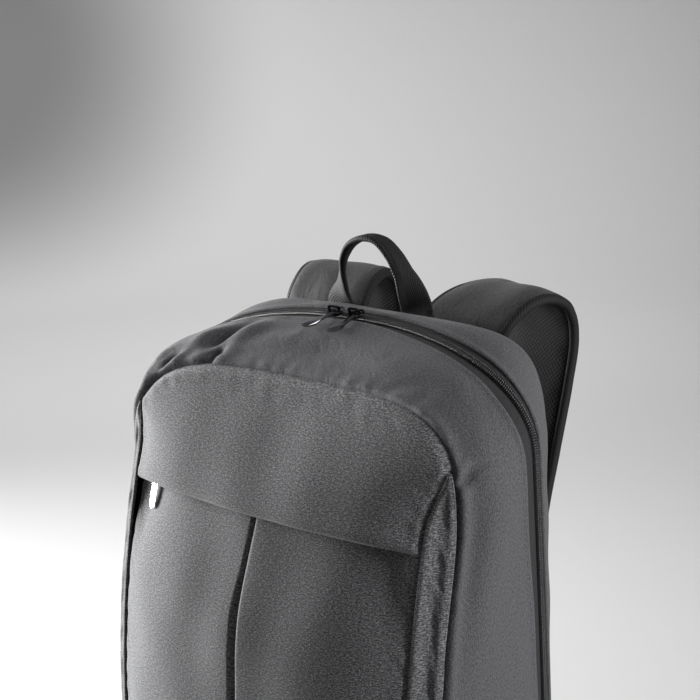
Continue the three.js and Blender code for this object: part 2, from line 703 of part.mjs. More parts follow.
function addPocketZip() {
  const bottom = FLAP_HEIGHT + FLAP_OVERLAP + SEAM_GAP;
  const half = panelHalf(FLAP_HEIGHT) - 3 * CLOTH;
  const grid = steps(2).map((v) => {
    const z = mix(bottom, bottom + POCKET_ZIP_WIDTH, v);
    return steps(14).map((u) => {
      const x = mix(-half, half, u);
      return new THREE.Vector3(x, pocketY(x, z) + pocketZipBack(x, z), z);
    });
  });
  addPiece("pocket_zip", sheetSolid(grid, POCKET_ZIP_THICKNESS), ZIP_TAPE);
}

// Sliders and pulls. A slider's own axes are X along the coil, Y across it and Z away from the bag.
const eyeHeight = SLIDER_LIFT + SLIDER_PLATE + BRIDGE_CLEAR / 2;

function sliderGeometry() {
  const end = SLIDER_LENGTH / 2;
  const shoulder = SLIDER_LENGTH / 5;
  const lower = [[-end, -SLIDER_NOSE / 2], [-shoulder, -SLIDER_WIDTH / 2]];
  const corners = [...lower, ...[...lower].reverse().map(([a, b]) => [-a, b])];
  const around = [...corners, ...corners.map(([a, b]) => [-a, -b])];
  const outline = new THREE.Shape(around.map(([a, b]) => new THREE.Vector2(a, b)));
  const plate = new THREE.ExtrudeGeometry(outline, { depth: SLIDER_PLATE, bevelEnabled: false });
  plate.translate(0, 0, SLIDER_LIFT);
  const outside = BRIDGE_SPAN / 2 + BRIDGE_WIRE / 2;
  const inside = BRIDGE_SPAN / 2 - BRIDGE_WIRE / 2;
  const foot = SLIDER_LIFT + SLIDER_PLATE / 2;
  const underside = SLIDER_LIFT + SLIDER_PLATE + BRIDGE_CLEAR;
  const crown = underside + BRIDGE_WIRE;
  const innerSide = [[inside, underside], [inside, foot]];
  const outerSide = [[outside, foot], [outside, crown - BRIDGE_WIRE / 2], [inside, crown]];
  const rightLeg = [...innerSide, ...outerSide];
  const bridgeOutline = [...rightLeg, ...[...rightLeg].reverse().map(([a, b]) => [-a, b])];
  const arch = new THREE.Shape(bridgeOutline.map(([a, b]) => new THREE.Vector2(a, b)));
  const bridge = new THREE.ExtrudeGeometry(arch, { depth: BRIDGE_WIRE, bevelEnabled: false });
  bridge.rotateX(Math.PI / 2).translate(0, BRIDGE_WIRE / 2, 0);
  return fromManifold(toManifold(plate).add(toManifold(bridge)));
}

// Sides of the pulls: share of the length from the eye, and share of the way from neck to full width
const MAIN_PULL_SIDE = [
  { down: 0.3, wide: 0 },
  { down: 0.52, wide: 0.04 },
  { down: 0.62, wide: 0.62 },
  { down: 0.7, wide: 0.96 },
];
const POCKET_PULL_SIDE = [
  { down: 0.17, wide: 0.12 },
  { down: 0.25, wide: 0.72 },
  { down: 0.33, wide: 0.96 },
  { down: 0.7, wide: 1 },
];
const CURL_START = 0.6; // share of a main pull's length where it begins to curl up

// A flat pull along -Y from the middle of its eye, with a rounded end that may curl up
function pullGeometry({ length, width, neck, side, curl }) {
  const eyeOutside = PULL_EYE + PULL_EYE_RIM;
  const neckAngle = Math.asin(neck / 2 / eyeOutside);
  const endRadius = width / 2;
  const outline = new THREE.Shape();
  outline.absarc(0, 0, eyeOutside, neckAngle - Math.PI / 2, 1.5 * Math.PI - neckAngle, false);
  const halfAt = (wide) => mix(neck / 2, endRadius, wide);
  for (const { down, wide } of side) outline.lineTo(-halfAt(wide), -length * down);
  outline.absarc(0, -length + endRadius, endRadius, Math.PI, 2 * Math.PI, false);
  for (const { down, wide } of [...side].reverse()) outline.lineTo(halfAt(wide), -length * down);
  const eye = new THREE.Path().absarc(0, 0, PULL_EYE, 0, 2 * Math.PI, true);
  outline.holes.push(eye);
  const flat = { depth: PULL_THICKNESS, bevelEnabled: false, curveSegments: 7 };
  const plate = new THREE.ExtrudeGeometry(outline, flat);
  plate.translate(0, 0, -PULL_THICKNESS / 2);
  const position = plate.attributes.position;
  for (let i = 0; i < position.count; i += 1) {
    const share = clamp01((-position.getY(i) / length - CURL_START) / (1 - CURL_START));
    position.setZ(i, position.getZ(i) + curl * share ** 2);
  }
  return plate;
}

// Places a slider with the leg of its bridge at a point, and its pull turned and tipped about that leg
function addSliderAndPull(spec) {
  const { sliderName, pullName, leg, along, outward, scale, yaw, dip, length, neck, side, curl, material } = spec;
  const across = new THREE.Vector3().crossVectors(outward, along).normalize();
  const upright = new THREE.Vector3().crossVectors(along, across).normalize();
  const carrier = new THREE.Group();
  carrier.matrixAutoUpdate = false;
  carrier.matrix.makeBasis(along, across, upright).scale(new THREE.Vector3(scale, scale, scale));
  carrier.matrix.setPosition(leg.clone().addScaledVector(along, (-BRIDGE_SPAN / 2) * scale));
  const slider = new THREE.Mesh(sliderGeometry(), material);
  slider.name = sliderName;
  const shape = { length: length / scale, width: PULL_WIDTH / scale, neck: neck / scale, side, curl };
  const pull = new THREE.Mesh(pullGeometry(shape), material);
  pull.name = pullName;
  pull.position.set(BRIDGE_SPAN / 2, 0, eyeHeight);
  pull.rotation.set(THREE.MathUtils.degToRad(dip), 0, THREE.MathUtils.degToRad(-yaw), "ZXY");
  carrier.add(slider, pull);
  bag.add(carrier);
}

// The place on the main zip's crown at an X, with its directions
function crownPlace(x) {
  const station = (value) => new THREE.Vector3(value, zipLine.y(value, HEIGHT), zipHeightAt(value));
  const middle = acrossLines[HALF_STATIONS];
  const slope = middle.line.getTangentAt(middle.zipAt / middle.length);
  const along = station(x + 1).sub(station(x - 1)).normalize();
  return { point: station(x), along, outward: new THREE.Vector3().crossVectors(along, slope).normalize() };
}

function zipHeightAt(x) {
  const { spring, shoulder, half, power } = zipLine;
  return spring + shoulder * (1 - Math.abs(x / half) ** power) ** (1 / power);
}

function addMainPulls() {
  const pulls = [
    { side: "left", x: LEFT_PULL_X, yaw: LEFT_PULL_YAW },
    { side: "right", x: RIGHT_PULL_X, yaw: RIGHT_PULL_YAW },
  ];
  for (const { side, x, yaw } of pulls) {
    const { point, along, outward } = crownPlace(x);
    addSliderAndPull({
      sliderName: `main_zip_slider_${side}`,
      pullName: `main_zip_pull_${side}`,
      leg: point.addScaledVector(outward, CHAIN_PROUD),
      along,
      outward,
      scale: 1,
      yaw,
      dip: MAIN_PULL_DIP,
      length: MAIN_PULL_LENGTH,
      neck: MAIN_PULL_NECK,
      side: MAIN_PULL_SIDE,
      curl: PULL_CURL,
      material: GUNMETAL,
    });
  }
}

// Degrees that the pocket pull leans out from its eye to clear the lower panel under it
function pocketPullLift(eye, outward) {
  const clear = POCKET_PULL_CLEAR + (PULL_THICKNESS / 2) * POCKET_SLIDER_SCALE;
  const lifts = steps(5).slice(1).map((share) => {
    const down = share * POCKET_PULL_LENGTH;
    const z = eye.z - down;
    const panel = new THREE.Vector3(eye.x, pocketY(eye.x, z) + flapStep(eye.x, z), z);
    return Math.atan2(panel.sub(eye).dot(outward) + clear, down);
  });
  return THREE.MathUtils.radToDeg(Math.max(...lifts));
}

function addPocketPull() {
  const z = FLAP_HEIGHT + POCKET_SLIDER_UP;
  const place = (x, height) => new THREE.Vector3(x, pocketY(x, height) + pocketZipBack(x, height), height);
  const sliderHalf = (SLIDER_LENGTH / 2) * POCKET_SLIDER_SCALE;
  const along = place(POCKET_PULL_X + sliderHalf, z).sub(place(POCKET_PULL_X - sliderHalf, z)).normalize();
  const upwards = new THREE.Vector3(0, 0, 1);
  const outward = new THREE.Vector3().crossVectors(along, upwards).normalize();
  const leg = place(POCKET_PULL_X, z);
  const eye = leg.clone().addScaledVector(outward, eyeHeight * POCKET_SLIDER_SCALE);
  addSliderAndPull({
    sliderName: "pocket_zip_slider",
    pullName: "pocket_zip_pull",
    leg,
    along,
    outward,
    scale: POCKET_SLIDER_SCALE,
    yaw: 0,
    dip: -pocketPullLift(eye, outward),
    length: POCKET_PULL_LENGTH,
    neck: POCKET_PULL_NECK,
    side: POCKET_PULL_SIDE,
    curl: 0,
    material: SATIN_ALLOY,
  });
}

// Handle: webbing sewn flat into the back seam, folded to a narrow grip over the top
const HANDLE = [
  { across: -0.5, up: 0, forward: 0, turn: 0, fold: 0 },
  { across: -0.5, up: 0.1, forward: 0, turn: -6, fold: 0.1 },
  { across: -0.455, up: 0.29, forward: 0.04, turn: -28, fold: 0.8 },
  { across: -0.41, up: 0.5, forward: 0.09, turn: -50, fold: 1 },
  { across: -0.34, up: 0.7, forward: 0.14, turn: -68, fold: 1 },
  { across: -0.21, up: 0.88, forward: 0.18, turn: -82, fold: 1 },
  { across: -0.02, up: 0.98, forward: 0.2, turn: -90, fold: 1 },
  { across: 0.17, up: 0.96, forward: 0.19, turn: -98, fold: 1 },
  { across: 0.31, up: 0.79, forward: 0.15, turn: -112, fold: 1 },
  { across: 0.4, up: 0.56, forward: 0.1, turn: -124, fold: 0.9 },
  { across: 0.46, up: 0.34, forward: 0.05, turn: -144, fold: 0.55 },
  { across: 0.5, up: 0.1, forward: 0, turn: -174, fold: 0.1 },
  { across: 0.5, up: 0, forward: 0, turn: -180, fold: 0 },
];

function flatSection(width, thickness) {
  const a = width / 2;
  const b = thickness / 2;
  return [[-a, -b], [a, -b], [a, b], [-a, b]];
}

function addHandle() {
  const footY = backSeam.y(HANDLE_SPACING / 2) - WEBBING_THICKNESS / 2 - SEAM_GAP;
  const footZ = backSeam.top + 2 * SEAM_GAP;
  const rise = HANDLE_RISE - GRIP_THICKNESS;
  const middles = HANDLE.map(
    ({ across, up, forward }) =>
      new THREE.Vector3(across * HANDLE_SPACING, footY - forward * rise, footZ + up * rise),
  );
  const route = new THREE.CatmullRomCurve3(middles);
  const stations = steps(24).map((t) => {
    const row = t * (HANDLE.length - 1);
    const low = HANDLE[Math.floor(row)];
    const high = HANDLE[Math.min(Math.floor(row) + 1, HANDLE.length - 1)];
    const part = row - Math.floor(row);
    const turn = THREE.MathUtils.degToRad(mix(low.turn, high.turn, part));
    const fold = mix(low.fold, high.fold, part);
    const along = route.getTangent(t);
    const across = new THREE.Vector3(Math.cos(turn), Math.sin(turn), 0);
    across.addScaledVector(along, -across.dot(along)).normalize();
    const width = mix(WEBBING_WIDTH, GRIP_WIDTH, fold);
    const thickness = mix(WEBBING_THICKNESS, GRIP_THICKNESS, fold);
    return {
      middle: route.getPoint(t),
      across,
      up: new THREE.Vector3().crossVectors(along, across),
      section: flatSection(width, thickness),
    };
  });
  addPiece("handle", sweptSolid(stations), BLACK_WEBBING);
}

// Shoulder straps. Shares of the back's half width, of the arch's reach and of the bag's height;
// turn is in degrees about the upright, and width is a share of the strap's width.
// The left strap's arch lies nearer the middle of the bag and turns less than the right one's.
const STRAP = [
  { out: 0.38, leftOut: 0.47, reach: 0, up: 0.895, turn: 0, width: 1.03 },
  { out: 0.42, leftOut: 0.48, reach: 0.02, up: 0.94, turn: 0, width: 1.03 },
  { out: 0.47, leftOut: 0.5, reach: 0.12, up: 0.99, turn: 4, width: 1.02 },
  { out: 0.54, leftOut: 0.52, reach: 0.34, up: 1.02, turn: 12, width: 1.01 },
  { out: 0.59, leftOut: 0.55, reach: 0.6, up: 1.026, turn: 17, width: 1 },
  { out: 0.61, leftOut: 0.57, reach: 0.84, up: 1.006, turn: 17, width: 1 },
  { out: 0.61, leftOut: 0.59, reach: 0.95, up: 0.96, turn: 16, width: 1 },
  { out: 0.605, leftOut: 0.6, reach: 0.84, up: 0.895, turn: 14, width: 1 },
  { out: 0.6, leftOut: 0.6, reach: 0.59, up: 0.8, turn: 10, width: 1 },
  { out: 0.6, leftOut: 0.6, reach: 0.32, up: 0.7, turn: 5, width: 0.99 },
  { out: 0.61, leftOut: 0.61, reach: 0.17, up: 0.6, turn: 2, width: 0.96 },
  { out: 0.63, leftOut: 0.63, reach: 0.1, up: 0.5, turn: 0, width: 0.9 },
  { out: 0.67, leftOut: 0.67, reach: 0.08, up: 0.41, turn: 0, width: 0.8 },
  { out: 0.71, leftOut: 0.71, reach: 0.08, up: 0.35, turn: 0, width: 0.66 },
];

const STRAP_STEPS = 24;
const LEFT_STRAP_TURN = 0.2; // share of the right strap's turn

function strapMiddle({ out, reach, up }, side) {
  const x = side * out * backSeam.half;
  const z = up * HEIGHT;
  const outerEdge = Math.min(Math.abs(x) + STRAP_WIDTH / 2, backSeam.half);
  const panelZ = Math.min(z, backSeam.top - BACK_SHOULDER / 4);
  const panel = Math.max(backPanelY(outerEdge, panelZ), backPanelY(x, panelZ));
  const seat = panel + STRAP_CLEAR + STRAP_THICKNESS / 2;
  return new THREE.Vector3(x, seat + reach * STRAP_REACH, z);
}

function strapStations(side) {
  const places = STRAP.map((row) => ({ ...row, out: side < 0 ? row.leftOut : row.out }));
  const route = new THREE.CatmullRomCurve3(places.map((row) => strapMiddle(row, side)));
  const turning = side < 0 ? LEFT_STRAP_TURN : -1;
  return steps(STRAP_STEPS).map((t) => {
    const row = t * (STRAP.length - 1);
    const low = STRAP[Math.floor(row)];
    const high = STRAP[Math.min(Math.floor(row) + 1, STRAP.length - 1)];
    const part = row - Math.floor(row);
    const turn = THREE.MathUtils.degToRad(turning * mix(low.turn, high.turn, part));
    const along = route.getTangent(t);
    const across = new THREE.Vector3(Math.cos(turn), Math.sin(turn), 0);
    across.addScaledVector(along, -across.dot(along)).normalize();
    return {
      middle: route.getPoint(t),
      across,
      up: new THREE.Vector3().crossVectors(across, along),
      half: (STRAP_WIDTH / 2) * mix(low.width, high.width, part),
    };
  });
}

// The pad is full in its middle and thin where its binding wraps its edges
function padSection(half) {
  const inBinding = half - BINDING_THICKNESS - 3 * SEAM_GAP;
  const bindingEdge = half - BINDING_WIDTH - SEAM_GAP;
  const full = bindingEdge - STRAP_BEVEL;
  const thin = STRAP_EDGE / 2;
  const thick = STRAP_THICKNESS / 2;
  const left = [[-inBinding, -thin], [-bindingEdge, -thin], [-full, -thick]];
  const lower = [...left, ...[...left].reverse().map(([a, b]) => [-a, b])];
  return [...lower, ...lower.map(([a, b]) => [-a, -b])];
}

// A U of tape round one edge of the pad
function bindingSection(half, edge) {
  const inside = STRAP_EDGE / 2 + BINDING_CLEAR;
  const outside = inside + BINDING_THICKNESS;
  const start = half - BINDING_WIDTH;
  const spine = half - BINDING_THICKNESS;
  const right = [
    [start, -outside], [half, -outside], [half, outside], [start, outside],
    [start, inside], [spine, inside], [spine, -inside], [start, -inside],
  ];
  return edge > 0 ? right : right.map(([a, b]) => [-a, b]).reverse();
}

function addStrap(side, name) {
  const stations = strapStations(side);
  const withSection = (section) =>
    stations.map((station) => ({ ...station, section: section(station.half) }));
  addPiece(`${name}_pad`, sweptSolid(withSection(padSection)), PLAIN_CLOTH);
  for (const [edge, place] of [[side, "outer"], [-side, "inner"]]) {
    const tape = sweptSolid(withSection((half) => bindingSection(half, edge)));
    addPiece(`${name}_${place}_binding`, tape, BLACK_WEBBING);
  }
}

// Below each pad: an adjuster, webbing down to the bag's lower corner, and the tab that holds it
const LOWER_ROUTE = [
  { out: 0.755, reach: 0.075, up: 0.275 },
  { out: 0.8, reach: 0.1, up: 0.225 },
  { out: 0.845, reach: 0.08, up: 0.17 },
  { out: 0.88, reach: 0.035, up: 0.125 },
];

function sweptFlat(points, width, thickness) {
  const route = new THREE.CatmullRomCurve3(points);
  const stations = steps(points.length * 3).map((t) => {
    const along = route.getTangentAt(t);
    const across = new THREE.Vector3(1, 0, 0);
    across.addScaledVector(along, -across.dot(along)).normalize();
    return {
      middle: route.getPointAt(t),
      across,
      up: new THREE.Vector3().crossVectors(across, along),
      section: flatSection(width, thickness),
    };
  });
  return sweptSolid(stations);
}

function addLowerStrap(side, name) {
  const stations = strapStations(side);
  const padEnd = stations[stations.length - 1].middle;
  const padAlong = new THREE.Vector3().subVectors(padEnd, stations[stations.length - 2].middle).normalize();
  const adjusterTop = padEnd.clone().addScaledVector(padAlong, SEAM_GAP);
  const adjusterEnd = adjusterTop.clone().addScaledVector(padAlong, ADJUSTER_LENGTH);
  const adjuster = sweptFlat([adjusterTop, adjusterEnd], ADJUSTER_WIDTH, ADJUSTER_THICKNESS);
  addPiece(`${name}_adjuster`, adjuster, BLACK_PLASTIC);
  const webbingStart = adjusterEnd.clone().addScaledVector(padAlong, SEAM_GAP);
  const webbingBend = webbingStart.clone().addScaledVector(padAlong, LOWER_WEBBING_WIDTH / 2);
  const webbingPoints = [webbingStart, webbingBend, ...LOWER_ROUTE.map((row) => strapMiddle(row, side))];
  const lowerWebbing = sweptFlat(webbingPoints, LOWER_WEBBING_WIDTH, LOWER_WEBBING_THICKNESS);
  addPiece(`${name}_webbing`, lowerWebbing, BLACK_WEBBING);
  const webbing = new THREE.CatmullRomCurve3(webbingPoints);
  const downwards = webbing.getTangentAt(1);
  const across = new THREE.Vector3(1, 0, 0).addScaledVector(downwards, -downwards.x).normalize();
  const up = new THREE.Vector3().crossVectors(across, downwards);
  const tip = webbing.getPointAt(1).addScaledVector(downwards, SEAM_GAP);
  const seamZ = tip.z - TAB_LENGTH;
  const seamX = halfWidthAt(backSeam.outline, seamZ) - TAB_LENGTH / 4;
  const seamPoint = new THREE.Vector3(side * seamX, backSeam.y(seamX) + TAB_THICKNESS, seamZ);
  const tab = [
    { middle: tip, across, up, section: flatSection(LOWER_WEBBING_WIDTH + TAB_THICKNESS, TAB_THICKNESS) },
    { middle: seamPoint, across, up, section: flatSection(TAB_LENGTH / 2, TAB_THICKNESS) },
  ];
  addPiece(`${name}_tab`, sweptSolid(tab), BLACK_WEBBING);
}

addBody();
addMainZip();
addMainPulls();
addBackPanel();
addUpperPanel();
addLowerPanels();
addWedge(1, "pocket_wedge_right");
addWedge(-1, "pocket_wedge_left");
addPocketBackWall();
addPocketZip();
addPocketPull();
addBase();
addHandle();
for (const [side, name] of [[-1, "left_strap"], [1, "right_strap"]]) {
  addStrap(side, name);
  addLowerStrap(side, name);
}

export default bag;
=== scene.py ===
# A laptop backpack with a zipped front pocket, standing upright on a pale floor.
# Metres, +Z up, and the front faces -Y. Shapes are worked out in millimetres and made in metres.
import math

import bpy
import numpy as np
from mathutils import Matrix, Vector


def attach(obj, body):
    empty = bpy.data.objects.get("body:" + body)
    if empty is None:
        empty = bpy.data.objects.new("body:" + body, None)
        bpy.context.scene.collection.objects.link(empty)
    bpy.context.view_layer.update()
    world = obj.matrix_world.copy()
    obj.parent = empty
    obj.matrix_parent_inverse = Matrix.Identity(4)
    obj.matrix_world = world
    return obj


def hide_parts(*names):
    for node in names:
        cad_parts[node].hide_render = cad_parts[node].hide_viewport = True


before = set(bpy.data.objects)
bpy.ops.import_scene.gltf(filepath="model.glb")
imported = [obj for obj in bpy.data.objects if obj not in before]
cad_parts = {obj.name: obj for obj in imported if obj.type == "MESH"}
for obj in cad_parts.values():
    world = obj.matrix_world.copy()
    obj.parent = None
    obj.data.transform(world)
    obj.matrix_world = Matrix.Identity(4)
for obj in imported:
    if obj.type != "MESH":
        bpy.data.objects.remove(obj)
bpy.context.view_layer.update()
MM = 0.001

# Overall sizes of the bag, in millimetres. A seam arches over its shoulder, squarer with a higher power
HEIGHT = 430
WIDTH = 291
DEPTH = 142
FRONT_WIDTH = 274
BACK_WIDTH = 244
FRONT_DROP = 26
BACK_RISE = 1
FRONT_SHOULDER = 144
ZIP_SHOULDER = 58
BACK_SHOULDER = 105
FRONT_POWER = 4.9
ZIP_POWER = 2.24
BACK_POWER = 5.5
FRONT_SET_BACK = 11
ZIP_SET_BACK = 22
BACK_SET_IN = 6.5
ZIP_TO_BACK = 51
ZIP_LEAN = 21
GUSSET_BULGE = 4.5
REAR_BULGE = 3
CLOTH = 1.8
BASE_RISE = 16
BASE_TURN = 11
WALL_FOOT = 16.8

# Front pocket
POCKET_BULGE = 23
POCKET_EDGE = 80
FLAP_HEIGHT = 332
FLAP_OVERLAP = 2.5
FLAP_THICKNESS = 2
FLAP_STEP = 7.6
FLAP_STEP_SIDE = 3.2
FLAP_SIDE_FADE = 18
FLAP_FADE = 62
FLAP_DROOP = 5.3
WEDGE_TOP = 375
WEDGE_WIDTH = 20
WEDGE_DIP = 3
WEDGE_DEPTH = 11.4
SEAM_DRAW_IN = 3.3
PLEAT_X = 2.5
PLEAT_LEAN = 9
PLEAT_LAP = 12
PLEAT_STEP = 2.8
PLEAT_GAP = 1.9
PLEAT_GAP_LOW = 3
PLEAT_OPENS_OVER = 60

# Main zip
CHAIN_WIDTH = 5.6
CHAIN_PITCH = 1.5
FRONT_TAPE = 6.5
REAR_TAPE = 3
SEAM_GAP = 0.35  # between any two pieces

# Handle and straps
HANDLE_SPACING = 62
HANDLE_RISE = 53
WEBBING_WIDTH = 25
WEBBING_THICKNESS = 1.8
GRIP_WIDTH = 12.5
GRIP_THICKNESS = 4
STRAP_WIDTH = 68
STRAP_THICKNESS = 10
STRAP_EDGE = 3.6
BINDING_WIDTH = 7
BINDING_THICKNESS = 1.1
STRAP_CLEAR = 0.5
STRAP_REACH = 67
BACK_PADDING = 6
BACK_CROWN = 3

# (share of the height, share of the depth from the back to the front)
LEAN = [
    (0, 0.93), (0.04, 0.95), (0.12, 0.985), (0.26, 1), (0.4, 0.99), (0.53, 0.955),
    (0.65, 0.897), (0.79, 0.799), (0.9, 0.722), (1, 0.652),
]
# (share of the height, share of the pocket's bulge)
FILL = [(0, 0.5), (0.05, 0.66), (0.15, 0.95), (0.3, 1.08), (0.5, 1.1), (0.77, 1), (0.95, 0.72)]
# (share of the height, share of the full width)
TAPER = [(0, 0.95), (0.06, 0.968), (0.15, 0.985), (0.35, 1), (1, 1)]

# Soft waves of each cloth: (length, how many are summed, seed, depth)
GUSSET_PUCKER = (13, 8, 3, 0.45)
GUSSET_SLACK = (70, 12, 5, 0.6)
GUSSET_CRINKLE = (19, 14, 6, 0.12)
REAR_SLACK = (45, 10, 9, 0.7)
UPPER_SLACK = (60, 12, 11, 0.7)
UPPER_PUCKER = (14, 8, 13, 0.35)
LOWER_SLACK = (55, 12, 17, 0.8)
LOWER_PUCKER = (13, 8, 19, 0.5)
WEDGE_PUCKERS = {"left": (14, 8, 22, 0.7), "right": (14, 8, 24, 0.7)}
STRAP_WRINKLES = {"left_strap": (34, 10, 30, 0.6), "right_strap": (34, 10, 32, 0.6)}

# Folded edges of each cloth: (height of the ridge, its distance in, its width, draw at the edge, its width)
FRONT_FOLD = (1.0, 2.6, 2.4, 1.2, 1.3)
REAR_FOLD = (0.9, 1.5, 2.2, 1.0, 0.9)
FLAP_HEM = (1.1, 5, 5, 1.6, 1.3)
PLEAT_FOLD = (1.8, 0, 20, 2.2, 1.3)


def smooth(t):
    t = np.clip(t, 0, 1)
    return t * t * (3 - 2 * t)


def mix(a, b, t):
    return a + (b - a) * t


def table(rows, at):
    """A smooth curve through a table's rows of (place, share)."""
    places, shares = np.array(rows, float).T
    slopes = np.gradient(shares, places)
    at = np.clip(at, places[0], places[-1])
    k = np.clip(np.searchsorted(places, at) - 1, 0, len(places) - 2)
    step = places[k + 1] - places[k]
    t = (at - places[k]) / step
    start = (2 * t**3 - 3 * t**2 + 1) * shares[k] + (t**3 - 2 * t**2 + t) * step * slopes[k]
    end = (3 * t**2 - 2 * t**3) * shares[k + 1] + (t**3 - t**2) * step * slopes[k + 1]
    return start + end


def lean_y(z):
    return DEPTH / 2 - DEPTH * table(LEAN, z / HEIGHT)


def wedge_open(z):
    """Share of their full depth that the pocket's side wedges have at a height."""
    return 1 - smooth((z - FLAP_HEIGHT) / (WEDGE_TOP - FLAP_HEIGHT))


def bump(distance, width):
    """1 at no distance, falling off softly over a width."""
    return np.exp(-((distance / width) ** 2))


def folded_edge(distance, fold):
    """How far cloth stands up near its folded edge: a soft ridge, and a draw at the very edge."""
    height, inwards, width, draw, draw_width = fold
    return height * bump(distance - inwards, width) - draw * bump(distance, draw_width)


def waves(a, b, kind):
    """Soft uneven waves over two coordinates, of one of the kinds in the tables above."""
    length, count, seed, depth = kind
    draw = np.random.default_rng(seed)
    total = 0
    for _ in range(count):
        angle = draw.uniform(0, math.pi)
        k = 2 * math.pi / (length * draw.uniform(0.7, 1.6))
        total = total + np.sin(k * (a * math.cos(angle) + b * math.sin(angle)) + draw.uniform(0, 6.28))
    return depth * total / (1.6 * math.sqrt(count))


def run_along(line):
    """How far along a line of points each point lies."""
    return np.concatenate([[0], np.cumsum(np.linalg.norm(np.diff(line, axis=0), axis=1))])


def dents(rows, a, b):
    """Sum of the folds in a table: (a, b, length, width, turn in degrees, depth), all in millimetres."""
    total = np.zeros(np.broadcast(a, b).shape)
    for at_a, at_b, length, width, turn, depth in rows:
        c, s = math.cos(math.radians(turn)), math.sin(math.radians(turn))
        p = (a - at_a) * c + (b - at_b) * s
        q = (b - at_b) * c - (a - at_a) * s
        total += depth * np.exp(-((p / length) ** 2) - (q / width) ** 2)
    return total


class Seam:
    """A seam round the bag: straight sides, with a superellipse over the top."""

    def __init__(self, width, top, shoulder, power, y_at, draw_in=0):
        self.half = width / 2
        self.top = top
        self.y_at = y_at
        spring = top - shoulder
        z = np.linspace(WALL_FOOT, spring, 60)
        side = np.column_stack([self.half * table(TAPER, z / HEIGHT), z])
        angle = math.pi / 2 * np.sin(np.linspace(0, math.pi / 2, 200)) ** 1.4
        round_ = [np.cos(angle).clip(0) ** (2 / power), np.sin(angle) ** (2 / power)]
        arch = np.column_stack([self.half * round_[0], spring + shoulder * round_[1]])
        self.outline = np.vstack([side, arch[1:]])
        self.outline[:, 0] -= draw_in * wedge_open(self.outline[:, 1])
        self.lengths = run_along(self.outline)
        self.total = self.lengths[-1]

    def at(self, s):
        """Points at shares of the half outline: -1 is the foot at -X, 0 the crown, 1 the foot at +X."""
        along = (1 - np.abs(s)) * self.total
        x = np.interp(along, self.lengths, self.outline[:, 0]) * np.sign(s)
        z = np.interp(along, self.lengths, self.outline[:, 1])
        return np.stack([x, self.y_at(x, z), z], axis=-1)

    def half_width(self, z):
        return np.interp(z, self.outline[:, 1], self.outline[:, 0])


def crown(x, width):
    """A share that falls from 1 in the middle of a width to 0 at its two ends."""
    return 1 - (x / (width / 2)) ** 2


def front_seam_y(x, z):
    return lean_y(z) + FRONT_SET_BACK * crown(x, FRONT_WIDTH) + WEDGE_DEPTH / 2 * wedge_open(z)


def zip_line_y(x, z):
    return DEPTH / 2 - ZIP_TO_BACK + ZIP_LEAN * (1 - z / HEIGHT) + ZIP_SET_BACK * crown(x, WIDTH)


def back_seam_y(x, z):
    return DEPTH / 2 - BACK_SET_IN * crown(x, BACK_WIDTH)


front_seam = Seam(FRONT_WIDTH, HEIGHT - FRONT_DROP, FRONT_SHOULDER, FRONT_POWER, front_seam_y, SEAM_DRAW_IN)
zip_line = Seam(WIDTH, HEIGHT, ZIP_SHOULDER, ZIP_POWER, zip_line_y)
back_seam = Seam(BACK_WIDTH, HEIGHT + BACK_RISE, BACK_SHOULDER, BACK_POWER, back_seam_y)


def catmull(points, per_span):
    """A Catmull-Rom curve through points, (..., count, 3), with that many steps in each span."""
    first = 2 * points[..., :1, :] - points[..., 1:2, :]
    last = 2 * points[..., -1:, :] - points[..., -2:-1, :]
    p = np.concatenate([first, points, last], axis=-2)
    spans = []
    for k in range(points.shape[-2] - 1):
        a, b, c, d = (p[..., k + n : k + n + 1, :] for n in range(4))
        t = np.linspace(0, 1, per_span + 1)[:-1, None]
        spans.append(
            0.5 * (2 * b + (c - a) * t + (2 * a - 5 * b + 4 * c - d) * t**2 + (3 * b - a - 3 * c + d) * t**3)
        )
    return np.concatenate([*spans, points[..., -1:, :]], axis=-2)


class Body:
    """The side and top cloth, as lines across it from the pocket's seam over the zip to the back seam."""

    SPAN_STEPS = 24

    def __init__(self, stations):
        even_s = np.linspace(-1, 1, stations)
        self.s = mix(even_s, np.sin(even_s * math.pi / 2), 0.35)
        front, middle, back = front_seam.at(self.s), zip_line.at(self.s), back_seam.at(self.s)
        middle_x = np.gradient(middle, axis=0)
        outward = np.stack([-middle_x[:, 2], 0 * self.s, middle_x[:, 0]], axis=-1)
        outward /= np.linalg.norm(outward, axis=1, keepdims=True)
        full_front = (front + middle) / 2 + outward * GUSSET_BULGE
        full_back = (middle + back) / 2 + outward * REAR_BULGE
        control = np.stack([front, full_front, middle, full_back, back], axis=1)
        self.lines = catmull(control, self.SPAN_STEPS)
        steps = np.linalg.norm(np.diff(self.lines, axis=1), axis=2)
        self.lengths = np.concatenate([np.zeros((stations, 1)), np.cumsum(steps, axis=1)], axis=1)
        self.zip_at = self.lengths[:, 2 * self.SPAN_STEPS]
        self.around = run_along(middle)
        self.around -= np.interp(0, self.s, self.around)

    def grid(self, place):
        """Points at distances from the zip's middle, place being (stations, columns)."""
        at = place + self.zip_at[:, None]
        out = np.empty((*place.shape, 3))
        for i, (line, lengths) in enumerate(zip(self.lines, self.lengths)):
            for axis in range(3):
                out[i, :, axis] = np.interp(at[i], lengths, line[:, axis])
        return out


def grid_normals(grid):
    along, across = np.gradient(grid, axis=0), np.gradient(grid, axis=1)
    normal = np.cross(along, across)
    return normal / np.maximum(np.linalg.norm(normal, axis=2, keepdims=True), 1e-9)


body = Body(520)


def even(line, count):
    """Places at even spacing along a line of (x, z) points."""
    run = run_along(line)
    at = np.linspace(0, run[-1], count)
    return np.column_stack([np.interp(at, run, line[:, 0]), np.interp(at, run, line[:, 1])])


